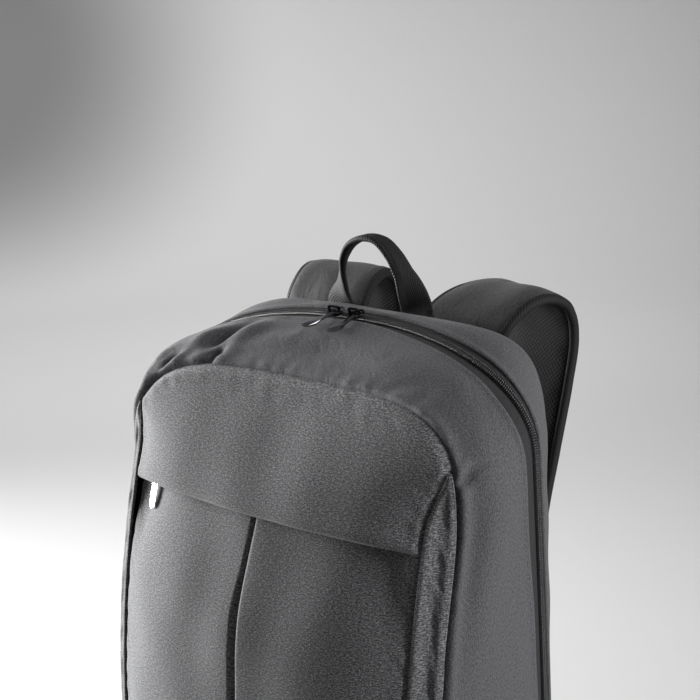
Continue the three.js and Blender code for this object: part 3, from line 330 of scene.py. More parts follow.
# Pocket shape, from the place where its side wedges start
wedge_start = front_seam.outline[np.argmax(front_seam.outline[:, 1] >= WEDGE_TOP)]


def panel_half(z):
    full = (front_seam.half - WEDGE_WIDTH) * table(TAPER, z / HEIGHT)
    return mix(full, wedge_start[0], smooth((z - FLAP_HEIGHT) / (WEDGE_TOP - FLAP_HEIGHT)) ** 2)


def panel_outline():
    z = np.linspace(WALL_FOOT, WEDGE_TOP, 60)[:-1]
    arch = front_seam.outline[front_seam.outline[:, 1] >= WEDGE_TOP]
    return np.vstack([np.column_stack([panel_half(z), z]), arch[::3], arch[-1:]])


PANEL_OUTLINE = panel_outline()


def distance_to_edge(x, z):
    """Nearest distance from each place to the line that bounds the pocket's panels."""
    start, end = PANEL_OUTLINE[:-1], PANEL_OUTLINE[1:]
    run = end - start
    size = np.maximum((run**2).sum(1), 1e-9)
    here = np.stack([np.abs(x).ravel(), z.ravel()], axis=1)
    best = np.full(len(here), 1e9)
    for a, r, l in zip(start, run, size):
        t = np.clip(((here - a) @ r) / l, 0, 1)
        best = np.minimum(best, np.linalg.norm(here - a - t[:, None] * r, axis=1))
    return best.reshape(x.shape)


def soft_distance(x, z):
    """Distance to that line with no crease where two sides are equally near."""
    nearest = distance_to_edge(x, z)
    ring = even(np.vstack([PANEL_OUTLINE, PANEL_OUTLINE[-2::-1] * [-1, 1]]), 400)
    spacing = np.linalg.norm(ring[1] - ring[0])
    total = np.zeros(x.shape)
    for px, pz in ring:
        total += spacing / np.maximum((x - px) ** 2 + (z - pz) ** 2, 4) ** 2
    spread = (total * 2 / math.pi) ** (-1 / 3)
    return mix(nearest, spread, smooth(nearest / 16))


def pocket_y(x, z):
    """The pocket's face: it rises from its seams like a pillow."""
    inside = np.clip(soft_distance(x, z) / POCKET_EDGE, 0, 1)
    pillow = 1 - (1 - inside) ** 2.4
    edge_y = FRONT_SET_BACK * crown(x, FRONT_WIDTH) - WEDGE_DEPTH / 2 * wedge_open(z)
    return lean_y(z) + edge_y * (1 - pillow) - POCKET_BULGE * table(FILL, z / HEIGHT) * pillow


def pleat_x(z):
    return PLEAT_X + PLEAT_LEAN * (1 - z / FLAP_HEIGHT)


def flap_droop(x):
    """How far the flap's edge hangs lower towards its two ends."""
    return FLAP_DROOP * (np.abs(x) / panel_half(FLAP_HEIGHT)) ** 5


def flap_step(x, z):
    """How far a lower panel lies behind the flap: less at its sides, where both are sewn down."""
    from_side = panel_half(np.minimum(z, FLAP_HEIGHT)) - np.abs(x)
    full = mix(FLAP_STEP_SIDE, FLAP_STEP, smooth(from_side / FLAP_SIDE_FADE))
    return full * (1 - smooth((FLAP_HEIGHT - z - flap_droop(x)) / FLAP_FADE))


# Materials


def colour(hex_value):
    """An sRGB hex colour as linear RGBA."""
    parts = [int(hex_value[i : i + 2], 16) / 255 for i in (1, 3, 5)]
    return [p / 12.92 if p <= 0.04045 else ((p + 0.055) / 1.055) ** 2.4 for p in parts] + [1]


def add(tree, kind, links=None, **settings):
    """Adds a node. Settings are its own properties or, failing that, values of its sockets."""
    node = tree.nodes.new("ShaderNode" + kind)
    for key, value in settings.items():
        if hasattr(node, key):
            setattr(node, key, value)
        else:
            node.inputs[key.replace("_", " ")].default_value = value
    for key, source in (links or {}).items():
        tree.links.new(source, node.inputs[key])
    return node


def new_material(name, **surface):
    material = bpy.data.materials.new(name)
    material.use_nodes = True
    tree = material.node_tree
    shader = tree.nodes["Principled BSDF"]
    for key, value in surface.items():
        shader.inputs[key.replace("_", " ")].default_value = value
    return material, tree, shader


def pattern(tree, pitch_u, pitch_v, turn=0):
    """Coordinates along and across the cloth, in repeats of a pattern of that pitch in millimetres."""
    place = add(tree, "UVMap", uv_map="cloth")
    turned = add(tree, "Mapping", {"Vector": place.outputs["UV"]})
    turned.inputs["Rotation"].default_value = (0, 0, math.radians(turn))
    scaled = add(tree, "Mapping", {"Vector": turned.outputs["Vector"]})
    scaled.inputs["Scale"].default_value = (1 / (pitch_u * MM), 1 / (pitch_v * MM), 1)
    return scaled.outputs["Vector"]


def two_tone(tree, fac, dark, light, low=0, high=1):
    """The colour between two hex colours, for a value between low and high."""
    tone = add(tree, "ValToRGB", {"Fac": fac})
    for stop, place, hex_value in zip(tone.color_ramp.elements, (low, high), (dark, light)):
        stop.position = place
        stop.color = colour(hex_value)
    return tone


def relief(tree, shader, height, strength, distance, **links):
    """Fine relief on a surface, worked out from a height."""
    node = add(tree, "Bump", {"Height": height, **links}, Strength=strength, Distance=distance)
    tree.links.new(node.outputs["Normal"], shader.inputs["Normal"])
    return node.outputs["Normal"]


def half_and_half(tree, a, b, share):
    both = add(tree, "Mix", {"A": a.outputs["Fac"], "B": b.outputs["Fac"]}, data_type="FLOAT")
    both.inputs["Factor"].default_value = share
    return both.outputs["Result"]


def multiplied(tree, a, b, share=1):
    """One colour times another, by a share."""
    both = add(tree, "Mix", {"A": a, "B": b}, data_type="RGBA", blend_type="MULTIPLY")
    both.inputs["Factor"].default_value = share
    return both.outputs["Result"]


def heather_cloth():
    """Polyester plain weave of light and dark yarns, dyed before weaving: short level slubs and specks."""
    material, tree, shader = new_material(
        "heather_polyester", Roughness=0.92, Specular_IOR_Level=0.35, Sheen_Weight=0.1, Sheen_Roughness=0.5
    )
    slubs = add(tree, "TexNoise", {"Vector": pattern(tree, 1.9, 0.75)}, Scale=1, Detail=3, Roughness=0.7)
    specks = add(tree, "TexNoise", {"Vector": pattern(tree, 0.8, 0.7)}, Scale=1, Detail=2, Roughness=0.7)
    cloudy = add(tree, "TexNoise", {"Vector": pattern(tree, 60, 60)}, Scale=1, Detail=2)
    both = half_and_half(tree, slubs, specks, 0.5)
    yarn = two_tone(tree, both, "#222223", "#7a7a7c", 0.42, 0.6)
    yarn.color_ramp.elements.new(0.5).color = colour("#464648")
    tone = two_tone(tree, cloudy.outputs["Fac"], "#a0a0a0", "#ffffff")
    soft = multiplied(tree, yarn.outputs["Color"], tone.outputs["Color"], 0.2)
    tree.links.new(soft, shader.inputs["Base Color"])
    relief(tree, shader, both, 0.5, 0.0006)
    return material


def plain_cloth(name="plain_polyester", dark="#2c2c2e", light="#4b4b4e"):
    """Fine coated polyester of one colour: the weave shows only as a fine grain, with a faint sheen."""
    material, tree, shader = new_material(
        name, Roughness=0.82, Specular_IOR_Level=0.3, Sheen_Weight=0.06, Sheen_Roughness=0.45
    )
    grain = add(tree, "TexNoise", {"Vector": pattern(tree, 1.5, 0.8)}, Scale=1, Detail=3, Roughness=0.75)
    creases = add(tree, "TexNoise", {"Vector": pattern(tree, 16, 9, 25)}, Scale=1, Detail=4, Roughness=0.6)
    creases.inputs["Distortion"].default_value = 1.2
    tone = two_tone(tree, grain.outputs["Fac"], dark, light, 0.4, 0.6)
    tree.links.new(tone.outputs["Color"], shader.inputs["Base Color"])
    fine = relief(tree, shader, grain.outputs["Fac"], 0.6, 0.0005)
    relief(tree, shader, creases.outputs["Fac"], 0.5, 0.0016, Normal=fine)
    return material


def twill_webbing():
    """Polyester webbing in a twill: fine diagonal ribs that catch the light."""
    material, tree, shader = new_material("black_twill_webbing", Roughness=0.72, Specular_IOR_Level=0.2)
    rib_place = pattern(tree, 1.5, 1.5, 38)
    ribs = add(tree, "TexWave", {"Vector": rib_place}, wave_type="BANDS", bands_direction="X")
    ribs.inputs["Scale"].default_value = 0.314
    ribs.inputs["Distortion"].default_value = 0.6
    yarn = add(tree, "TexNoise", {"Vector": pattern(tree, 0.8, 2.4)}, Scale=1, Detail=2)
    both = half_and_half(tree, ribs, yarn, 0.4)
    tone = two_tone(tree, both, "#030303", "#171718", 0.2, 0.8)
    tree.links.new(tone.outputs["Color"], shader.inputs["Base Color"])
    relief(tree, shader, both, 0.6, 0.0005)
    return material


def spacer_mesh():
    """Knitted spacer mesh over foam: a lattice of yarns with holes 2.4 mm apart, dark inside."""
    material, tree, shader = new_material("black_spacer_mesh", Roughness=0.85, Specular_IOR_Level=0.12)
    cells = add(tree, "TexVoronoi", {"Vector": pattern(tree, 2.4, 2.4, 45)}, feature="F1")
    cells.inputs["Scale"].default_value = 1
    cells.inputs["Randomness"].default_value = 0.12
    hole = two_tone(tree, cells.outputs["Distance"], "#010101", "#202022", 0.36, 0.52)
    tree.links.new(hole.outputs["Color"], shader.inputs["Base Color"])
    relief(tree, shader, hole.outputs["Color"], 0.8, 0.0012)
    return material


def object_noise(tree, scale, detail):
    place = add(tree, "TexCoord").outputs["Object"]
    return add(tree, "TexNoise", {"Vector": place}, Scale=scale, Detail=detail).outputs["Fac"]


def plated(name, base, roughness):
    """Plated zinc casting: smooth and bright, with faint handling marks."""
    material, tree, shader = new_material(name, Metallic=1, Roughness=roughness)
    shader.inputs["Base Color"].default_value = colour(base)
    rough = add(tree, "MapRange", {"Value": object_noise(tree, 900, 3)})
    rough.inputs["To Min"].default_value = roughness * 0.8
    rough.inputs["To Max"].default_value = roughness * 1.25
    tree.links.new(rough.outputs["Result"], shader.inputs["Roughness"])
    return material


def nylon_coil():
    """Nylon monofilament coil, dyed black: smooth with a soft gloss."""
    material, tree, shader = new_material("black_nylon_coil", Roughness=0.3, IOR=1.53)
    tone = two_tone(tree, object_noise(tree, 700, 2), "#0c0c0d", "#202022")
    tree.links.new(tone.outputs["Color"], shader.inputs["Base Color"])
    return material


def moulded_acetal():
    """Injection-moulded acetal buckles, black with a fine spark-eroded grain."""
    material, tree, shader = new_material("black_acetal", Roughness=0.5, IOR=1.48)
    shader.inputs["Base Color"].default_value = colour("#161617")
    relief(tree, shader, object_noise(tree, 2500, 2), 0.2, 0.0001)
    return material


HEATHER = heather_cloth()
PLAIN = plain_cloth()
TAPE = plain_cloth("woven_zip_tape", "#121213", "#1e1e20")
STRAP_CLOTH = plain_cloth("strap_polyester", "#19191b", "#2e2e30")
WEBBING = twill_webbing()
MESH = spacer_mesh()
COIL = nylon_coil()
GUNMETAL = plated("gunmetal_plate", "#2c2c2f", 0.22)
BLACK_NICKEL = plated("black_nickel_plate", "#77777b", 0.14)
SATIN = plated("bright_plate", "#d9d9db", 0.28)
ACETAL = moulded_acetal()


# Mesh making


def make_object(name, points, faces, material, uvs=None, mesh_faces=None):
    """A mesh object from points in millimetres. uvs are in millimetres too, one for each point."""
    mesh = bpy.data.meshes.new(name)
    mesh.from_pydata([tuple(p) for p in np.asarray(points, float) * MM], [], faces)
    materials = material if isinstance(material, (list, tuple)) else [material]
    for each in materials:
        mesh.materials.append(each)
    if uvs is not None:
        layer = mesh.uv_layers.new(name="cloth")
        corners = np.empty(len(mesh.loops), np.int32)
        mesh.loops.foreach_get("vertex_index", corners)
        layer.data.foreach_set("uv", (np.asarray(uvs)[corners] * MM).astype(np.float32).ravel())
    if mesh_faces is not None:
        mesh.polygons.foreach_set("material_index", np.asarray(mesh_faces, np.int32))
    mesh.polygons.foreach_set("use_smooth", np.ones(len(mesh.polygons), bool))
    mesh.update()
    obj = bpy.data.objects.new(name, mesh)
    bpy.context.scene.collection.objects.link(obj)
    return obj


def grid_faces(rows, columns, closed=False):
    """Quads of a grid of rows by columns; closed joins the last column to the first."""
    faces = []
    for i in range(rows - 1):
        for j in range(columns if closed else columns - 1):
            n = (j + 1) % columns
            faces.append((i * columns + j, (i + 1) * columns + j, (i + 1) * columns + n, i * columns + n))
    return faces


def thicken(obj, thickness):
    """Gives a surface its thickness behind it."""
    solid = obj.modifiers.new("thickness", "SOLIDIFY")
    solid.thickness = thickness * MM
    solid.offset = -1
    return obj


def round_edges(obj, width):
    soft = obj.modifiers.new("rounding", "BEVEL")
    soft.width = width * MM
    soft.segments = 2
    soft.limit_method = "ANGLE"
    return obj


def sheet_of(name, grid, uv, material, thickness=CLOTH):
    """Cloth with its outer face on a grid of points and its thickness behind it."""
    rows, columns = grid.shape[:2]
    obj = make_object(name, grid.reshape(-1, 3), grid_faces(rows, columns), material, uv.reshape(-1, 2))
    return thicken(obj, thickness)


def on_bag(obj, slot, *nodes, rides_on="root"):
    """Lets a piece ride on a body, in place of these nodes. The slot is not used."""
    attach(obj, rides_on)
    if nodes:
        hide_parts(*nodes)
    return obj


def swept(name, middles, across, up, sections, material, uv_across, mesh_faces=None):
    """A closed solid swept along stations; each station has its own section of (a, b) points."""
    rows, count = sections.shape[:2]
    points = middles[:, None] + across[:, None] * sections[..., :1] + up[:, None] * sections[..., 1:]
    run = run_along(middles)
    uv = np.stack(np.broadcast_arrays(run[:, None], uv_across[None, :]), axis=-1)
    faces = grid_faces(rows, count, closed=True)
    faces += [tuple(range(count)), tuple(reversed(range((rows - 1) * count, rows * count)))]
    kinds = None
    if mesh_faces is not None:
        kinds = list(np.tile(mesh_faces, rows - 1)) + [0, 0]
    obj = make_object(name, points.reshape(-1, 3), faces, material, uv.reshape(-1, 2), kinds)
    caps = obj.modifiers.new("caps", "TRIANGULATE")
    caps.min_vertices = 5
    return obj


# Body cloth

# Folds of the side and top cloth, by millimetres around from the crown and in from the pocket's seam:
# (around, in, length, width, turn, depth)
GUSSET_FOLDS = [
    (-84, 29, 17, 6, 62, 5.5), (-66, 33, 16, 8, 60, -3.4), (-100, 26, 14, 8, 70, -2.2),
    (-79, 8, 8, 3.6, 70, 5.5), (-92, 12, 9, 6, 80, -2.0), (-68, 9, 9, 6, 60, -1.4),
    (-118, 8, 7, 3.0, 30, 4.0), (-128, 17, 9, 4, 20, -2.0), (-141, 15, 8, 3.0, 15, 3.6),
    (-150, 10, 7, 2.8, 10, 3.2), (-108, 7, 6, 3.4, 60, -1.4), (-134, 8, 6, 3.0, 35, -1.6),
    (156, 7, 8, 3.2, 100, 4.0), (149, 9, 7, 4, 95, -2.0), (-30, 30, 26, 9, 10, -1.2),
    (-5, 24, 30, 8, 5, 1.2), (20, 20, 34, 7, -4, 0.9), (52, 26, 26, 9, -8, -0.9),
    (84, 16, 22, 6, 30, 1.0), (104, 30, 26, 8, 55, -1.2), (120, 30, 40, 12, 20, 1.2),
    (205, 28, 60, 14, 0, -2.0), (205, 12, 60, 7, 0, 2.2), (96, 14, 12, 5, 70, 1.2),
]
# Extra fullness of the shoulder at the left, in the same columns
SHOULDER_FULL = (-138, 24, 34, 26, 0, -6.5)
# The cloth rolls in at the pocket's seam, deeper beside the right wedge
SEAM_ROLL = 4.2
WEDGE_ROLL = 8.7
WEDGE_ROLL_FROM = 140
WEDGE_ROLL_FULL = 170
BACK_SEAM_DRAW = 1.2


def body_sheet(name, place, lift, material, thickness=CLOTH):
    """Cloth round the body at distances from the zip's middle, lifted off the body's shape."""
    grid = body.grid(place)
    grid = grid + grid_normals(grid) * np.broadcast_to(lift, place.shape)[..., None]
    around = np.broadcast_to(body.around[:, None], place.shape)
    return sheet_of(name, grid, np.stack([around, place], axis=-1), material, thickness)


def add_main_gusset():
    share = np.linspace(0, 1, 60)
    share = mix(share, smooth(share), 0.75)
    around = body.around[:, None]
    start = (-body.zip_at + 0.6)[:, None]
    end = -(CHAIN_WIDTH / 2 + front_tape_width(around) + 2 * SEAM_GAP)
    place = start + (end - start) * share
    edge = place - start
    to_end = end - place
    deep = smooth((around - WEDGE_ROLL_FROM) / (WEDGE_ROLL_FULL - WEDGE_ROLL_FROM))
    roll = mix(SEAM_ROLL, WEDGE_ROLL, deep) * bump(edge, mix(2.3, 3.6, deep)) - 0.9 * bump(edge - 5, 4)
    pucker = waves(around, 0, GUSSET_PUCKER) * bump(edge - 4, 7)
    slack = waves(around, place, GUSSET_SLACK) * smooth(edge / 30)
    crinkle = waves(around, place, GUSSET_CRINKLE) * smooth(edge / 12) * smooth(to_end / 8)
    lip = folded_edge(to_end, FRONT_FOLD)
    folds = dents([*GUSSET_FOLDS, SHOULDER_FULL], around, edge) * smooth(edge / 2.5)
    piece = body_sheet("main_gusset_cloth", place, slack + pucker + crinkle + lip - roll - folds, PLAIN)
    on_bag(piece, "plain_cloth", "main_gusset")


def front_tape_width(around):
    """The tape shows most at the right shoulder, and the cloth all but covers it on the left."""
    return mix(1.4, FRONT_TAPE, smooth((around - 10) / 110) * (1 - 0.55 * smooth((around - 190) / 120)))


def add_rear_gusset():
    share = np.linspace(0, 1, 34)
    around = body.around[:, None]
    start = CHAIN_WIDTH / 2 + REAR_TAPE + 2 * SEAM_GAP
    end = (body.lengths[:, -1] - body.zip_at)[:, None]
    place = start + (end - start) * share
    edge = place - start
    to_end = end - place
    slack = waves(around, place, REAR_SLACK) * smooth(to_end / 12) * smooth(edge / 8)
    lift = folded_edge(edge, REAR_FOLD) + slack - BACK_SEAM_DRAW * bump(to_end, 2.5)
    piece = body_sheet("rear_gusset_cloth", place, lift, PLAIN)
    on_bag(piece, "plain_cloth", "rear_gusset")


# The tapes start near the zip's middle and reach on under the cloth
TAPE_START = 0.1
TAPE_UNDER_CLOTH = 1.5
TAPE_DEPTH = 0.9
TAPE_THICKNESS = 1.0


def add_tapes():
    for name, side, width in (("front_tape", -1, FRONT_TAPE), ("rear_tape", 1, REAR_TAPE)):
        far = CHAIN_WIDTH / 2 + width + SEAM_GAP + TAPE_UNDER_CLOTH
        ends = sorted((side * TAPE_START, side * far))
        place = np.broadcast_to(np.linspace(*ends, 9), (len(body.s), 9))
        piece = body_sheet(name + "_cloth", place, -TAPE_DEPTH, TAPE, TAPE_THICKNESS)
        on_bag(piece, "zip_tape", "main_zip_" + name)


def zip_frame(spacing):
    """Points along the middle of the zip at even spacing, with their directions along, across and out."""
    place = np.broadcast_to(np.array([[-1.0, 0.0, 1.0]]), (len(body.s), 3))
    lines = body.grid(place)
    count = int((body.around[-1] - body.around[0]) / spacing)
    at = body.around[0] + spacing * (0.5 + np.arange(count))
    fit = np.stack([[np.interp(at, body.around, lines[:, k, a]) for a in range(3)] for k in range(3)])
    fit = fit.transpose(0, 2, 1)
    along = np.gradient(fit[1], axis=0)
    along /= np.linalg.norm(along, axis=1, keepdims=True)
    across = fit[2] - fit[0]
    across /= np.linalg.norm(across, axis=1, keepdims=True)
    out = np.cross(along, across)
    return fit[1], along, across, out


# One tooth's bent bar: (distance from the zip's middle, height)
TOOTH = [(2.75, -0.5), (2.65, 0.35), (2.0, 0.95), (1.1, 1.05), (0.3, 0.8), (-0.25, 0.1)]
TOOTH_RADIUS = 0.46
TOOTH_SIDES = 6


def add_coil():
    """Two rows of coil teeth that mesh in the middle, each tooth a bent bar of six sides."""
    middle, along, across, out = zip_frame(CHAIN_PITCH / 2)
    radius, sides = TOOTH_RADIUS, TOOTH_SIDES
    points, faces = [], []
    for i, (m, l, c, o) in enumerate(zip(middle, along, across, out)):
        side = 1 if i % 2 else -1
        base = len(points)
        for reach, lift in TOOTH:
            centre = m + c * (side * reach) + o * lift
            for n in range(sides):
                angle = 2 * math.pi * n / sides
                points.append(centre + l * (radius * math.cos(angle)) + o * (radius * math.sin(angle)))
        for k in range(len(TOOTH) - 1):
            for n in range(sides):
                a, b = base + k * sides + n, base + k * sides + (n + 1) % sides
                faces.append((a, b, b + sides, a + sides))
        end = base + (len(TOOTH) - 1) * sides
        faces.append(tuple(base + n for n in reversed(range(sides))))
        faces.append(tuple(end + n for n in range(sides)))
    obj = make_object("zip_coil_teeth", points, faces, COIL)
    on_bag(obj, "zip_coil", "main_zip_coil")


# Front pocket


def transfinite(bottom, top, left, right):
    """Fills four boundary lines with rows of points."""
    rows, columns = len(left), len(bottom)
    u, v = np.linspace(0, 1, columns)[None, :, None], np.linspace(0, 1, rows)[:, None, None]
    sides = left[:, None] * (1 - u) + right[:, None] * u
    ends = bottom[None] * (1 - v) + top[None] * v
    corners = (bottom[0] * (1 - u) + bottom[-1] * u) * (1 - v) + (top[0] * (1 - u) + top[-1] * u) * v
    return sides + ends - corners


def arched_patch(outline, columns, rows):
    """Fills a shape with straight sides and an arched top, given the right half of its outline."""
    run = np.abs(np.diff(outline, axis=0))
    corner = len(outline) - 1 - np.argmax((run[:, 1] > run[:, 0])[::-1])
    right = even(outline[: corner + 1], rows)
    half_top = even(outline[corner:], columns // 2 + 1)
    mirror = np.array([-1, 1])
    top = np.vstack([half_top * mirror, half_top[-2::-1]])
    bottom = np.linspace(right[0] * mirror, right[0], columns + 1)
    return transfinite(bottom, top, right * mirror, right)


def faced_sheet(name, places, y, material, thickness=CLOTH):
    """A sheet over (x, z) places that faces the front, with its outer face at y."""
    grid = np.stack([places[..., 0], y, places[..., 1]], axis=-1)
    return sheet_of(name, grid[::-1], places[::-1], material, thickness)


# How far the panels' edges are drawn in at their seams, and how wide that shows
PANEL_DRAW = 2.1
UPPER_DRAW = 3.6
LOWER_DRAW = 3.0
# Hollow in the lower left panel that leaves room for the pocket pull, swung out to the side
PULL_HOLLOW_X = -112
PULL_HOLLOW_Z = 325
PULL_HOLLOW_DEPTH = 1.5
PULL_HOLLOW_WIDTH = 18


def add_upper_panel():
    rows = PANEL_OUTLINE[PANEL_OUTLINE[:, 1] > FLAP_HEIGHT]
    outline = np.vstack([[panel_half(FLAP_HEIGHT), FLAP_HEIGHT], rows])
    places = arched_patch(outline, 220, 110)
    up = np.linspace(0, 1, places.shape[0])[:, None]
    places[..., 1] -= flap_droop(places[..., 0]) * (1 - up) ** 3
    x, z = places[..., 0], places[..., 1]
    edge = distance_to_edge(x, z)
    hem = z - FLAP_HEIGHT + flap_droop(x)
    y = pocket_y(x, z)
    y += UPPER_DRAW * bump(edge, PANEL_DRAW) * smooth(hem / 6) - 0.4 * bump(edge - 5, 3)
    y -= folded_edge(hem, FLAP_HEM)
    y -= waves(x, z, UPPER_SLACK) * smooth(edge / 25)
    y -= waves(x + z, z, UPPER_PUCKER) * bump(edge - 5, 9)
    piece = faced_sheet("pocket_upper_cloth", places, y, HEATHER, FLAP_THICKNESS)
    on_bag(piece, "heather_cloth", "pocket_upper_panel")


def lower_panel(columns, left, right):
    """Places between two edges and the shape there, before the pleat: (x, z) places, and y."""
    z = np.linspace(WALL_FOOT, FLAP_HEIGHT + FLAP_OVERLAP, 180)[:, None]
    x = mix(left(z), right(z), np.linspace(0, 1, columns)[None, :])
    z = z - flap_droop(x) * smooth((z - 180) / 150)
    edge = distance_to_edge(x, z)
    y = pocket_y(x, z) + flap_step(x, z) + LOWER_DRAW * bump(edge, PANEL_DRAW)
    y -= waves(x, z, LOWER_SLACK) * smooth(edge / 25)
    y -= waves(x + z, z, LOWER_PUCKER) * bump(edge - 5, 9)
    y += PULL_HOLLOW_DEPTH * bump(np.hypot(x - PULL_HOLLOW_X, z - PULL_HOLLOW_Z), PULL_HOLLOW_WIDTH)
    return np.stack([x, z], axis=-1), y


def lower_edge(z):
    return panel_half(np.minimum(z, FLAP_HEIGHT)) - SEAM_GAP


def add_lower_panels():
    """The right panel laps over the left one at the pleat, which opens towards the base."""
    places, y = lower_panel(110, pleat_x, lower_edge)
    from_pleat = places[..., 0] - pleat_x(places[..., 1])
    y -= folded_edge(from_pleat, PLEAT_FOLD)
    piece = faced_sheet("pocket_right_cloth", places, y, HEATHER)
    on_bag(piece, "heather_cloth", "pocket_lower_right_panel")

    places, y = lower_panel(120, lambda z: -lower_edge(z), lambda z: pleat_x(z) + PLEAT_LAP)
    from_pleat = places[..., 0] - pleat_x(places[..., 1])
    open_down = smooth((FLAP_HEIGHT - places[..., 1]) / PLEAT_OPENS_OVER)
    under = smooth((from_pleat + PLEAT_GAP + PLEAT_GAP_LOW * open_down**2) / (1.6 + 3 * open_down))
    y += (PLEAT_STEP + 2 * open_down) * under - 1.6 * bump(from_pleat + 8, 22)
    piece = faced_sheet("pocket_left_cloth", places, y, HEATHER)
    on_bag(piece, "heather_cloth", "pocket_lower_left_panel")


def add_wedges():
    for side, name in ((1, "right"), (-1, "left")):
        z = np.linspace(WALL_FOOT, WEDGE_TOP - 2, 150)[:, None]
        inner = panel_half(z) + 0.1
        outer = np.maximum(front_seam.half_width(z) - 0.4, inner + 0.3)
        share = np.linspace(0, 1, 26)[None, :]
        x = mix(inner, outer, share)
        width = smooth((outer - inner) / WEDGE_WIDTH)
        dip = WEDGE_DIP * np.sin(math.pi * share) ** 2 * width
        edge = np.minimum(x - inner, outer - x)
        y = lean_y(z) + WEDGE_DEPTH * wedge_open(z) * (share - 0.5) + dip + 1.8 * bump(edge, 1.8)
        y = y + waves(z + 2 * x, x, WEDGE_PUCKERS[name]) * smooth(edge / 6)
        places = np.stack([side * x, np.broadcast_to(z, x.shape)], axis=-1)
        if side < 0:
            places, y = places[:, ::-1], y[:, ::-1]
        piece = faced_sheet(f"pocket_wedge_cloth_{name}", places, y, HEATHER)
        on_bag(piece, "heather_cloth", f"pocket_wedge_{name}")


# Back panel, base

# Two sewn channels divide the back's padding
BACK_CHANNELS = (-44, 44)
CHANNEL_DEPTH = 2.2
CHANNEL_WIDTH = 3.5
BACK_OVERLAP = 1


def back_panel_y(x, z):
    across = np.maximum(0, crown(x, BACK_WIDTH))
    upwards = np.sin(math.pi * np.clip((z - BASE_RISE) / (back_seam.top - BASE_RISE), 0, 1))
    return back_seam.y_at(x, z) + BACK_CROWN * across * upwards


def add_back_panel():
    outline = back_seam.outline.copy()
    run = np.gradient(outline, axis=0)
    run /= np.linalg.norm(run, axis=1, keepdims=True)
    outline += BACK_OVERLAP * np.column_stack([-run[:, 1], run[:, 0]])
    outline[-1, 0] = 0
    places = arched_patch(outline, 160, 200)
    x, z = places[..., 0], places[..., 1]
    edge = np.full(x.shape, 1e9)
    for px, pz in outline[::3]:
        edge = np.minimum(edge, np.hypot(np.abs(x) - px, z - pz))
    y = back_panel_y(x, z) - 3.0 * bump(edge, 5)
    for channel in BACK_CHANNELS:
        y -= CHANNEL_DEPTH * bump(x - channel, CHANNEL_WIDTH) * smooth(edge / 20)
    pad = sheet_of("back_pad", np.stack([x, y, z], axis=-1), places, MESH, BACK_PADDING - 1)
    on_bag(pad, "spacer_mesh", "back_panel")


def foot_outline():
    z = WALL_FOOT
    edge = float(panel_half(z))
    x = np.linspace(-edge, edge, 60)
    front = np.column_stack([x, pocket_y(x, np.full_like(x, z)) + 0.5])
    side = body.lines[-1][:, :2]
    back_x = np.linspace(back_seam.at(1.0)[0], -back_seam.at(1.0)[0], 40)[1:-1]
    back = np.column_stack([back_x, back_seam.y_at(back_x, z)])
    return np.vstack([front, side, back, side[::-1] * [-1, 1]])


# The base's turn from its rim to the floor: (share of the turn inwards, height)
TRAY = [(0, 16.2), (0.02, 12), (0.06, 8.5), (0.16, 5), (0.32, 2.4), (0.6, 0.6), (1.0, 0.0)]
BASE_CLOTH = 2.4


def add_base():
    rim = foot_outline()
    middle = rim.mean(axis=0)
    loops, heights = [], []
    for inside, z in TRAY:
        pull = inside * BASE_TURN / np.array([WIDTH / 2, DEPTH / 2])
        loops.append(rim + (middle - rim) * pull)
        heights.append(z)
    foot = loops[-1]
    for share in (0.3, 0.6, 0.9):
        loops.append(mix(foot, middle, share))
        heights.append(0)
    count = len(rim)
    points = [(x, y, z) for loop, z in zip(loops, heights) for x, y in loop]
    faces = grid_faces(len(loops), count, closed=True)
    last = (len(loops) - 1) * count
    faces.append(tuple(reversed(range(last, last + count))))
    uvs = [(x, y + 3 * z) for x, y, z in points]
    obj = make_object("base_cloth", points, faces, PLAIN, np.array(uvs))
    on_bag(thicken(obj, BASE_CLOTH), "plain_cloth", "base")


# Handle, in shares of its spacing and its rise: (across, up, forward, turn in degrees, fold)
HANDLE = [
    (-0.5, 0, 0, 0, 0), (-0.5, 0.1, 0, -6, 0.1), (-0.455, 0.29, 0.04, -28, 0.8),
    (-0.41, 0.5, 0.09, -50, 1), (-0.34, 0.7, 0.14, -68, 1), (-0.21, 0.88, 0.18, -82, 1),
    (-0.02, 0.98, 0.2, -90, 1), (0.17, 0.96, 0.19, -98, 1), (0.31, 0.79, 0.15, -112, 1),
    (0.4, 0.56, 0.1, -124, 0.9), (0.46, 0.34, 0.05, -144, 0.55), (0.5, 0.1, 0, -174, 0.1),
    (0.5, 0, 0, -180, 0),
]
HANDLE_SUNK = 1.5
HANDLE_STEPS = 12


def directions(middles, turns):
    """Along, across and up directions of a strip whose width is turned about the upright."""
    along = np.gradient(middles, axis=0)
    along /= np.linalg.norm(along, axis=1, keepdims=True)
    across = np.stack([np.cos(turns), np.sin(turns), 0 * turns], axis=-1)
    across -= along * (along * across).sum(1, keepdims=True)
    across /= np.linalg.norm(across, axis=1, keepdims=True)
    return along, across


def rounded_strip(widths, thicknesses, per_corner=4):
    """Sections of a strip with round edges, for arrays of widths and thicknesses."""
    sections = []
    for width, thickness in zip(widths, thicknesses):
        r = thickness / 2
        ring = []
        for cx, start in ((width / 2 - r, -90), (-(width / 2 - r), 90)):
            for k in range(per_corner + 1):
                angle = math.radians(start + 180 * k / per_corner)
                ring.append((cx + r * math.cos(angle), r * math.sin(angle)))
            level = r if start < 0 else -r
            ring += [(mix(-cx, cx, share), level) for share in (0.75, 0.5, 0.25)]
        sections.append(ring)
    return np.array(sections)


def steps_of(table_rows, column, middles, per_span):
    """A table's column at each of the points that a curve through its rows has."""
    return np.interp(np.arange(len(middles)) / per_span, np.arange(len(table_rows)), table_rows[:, column])


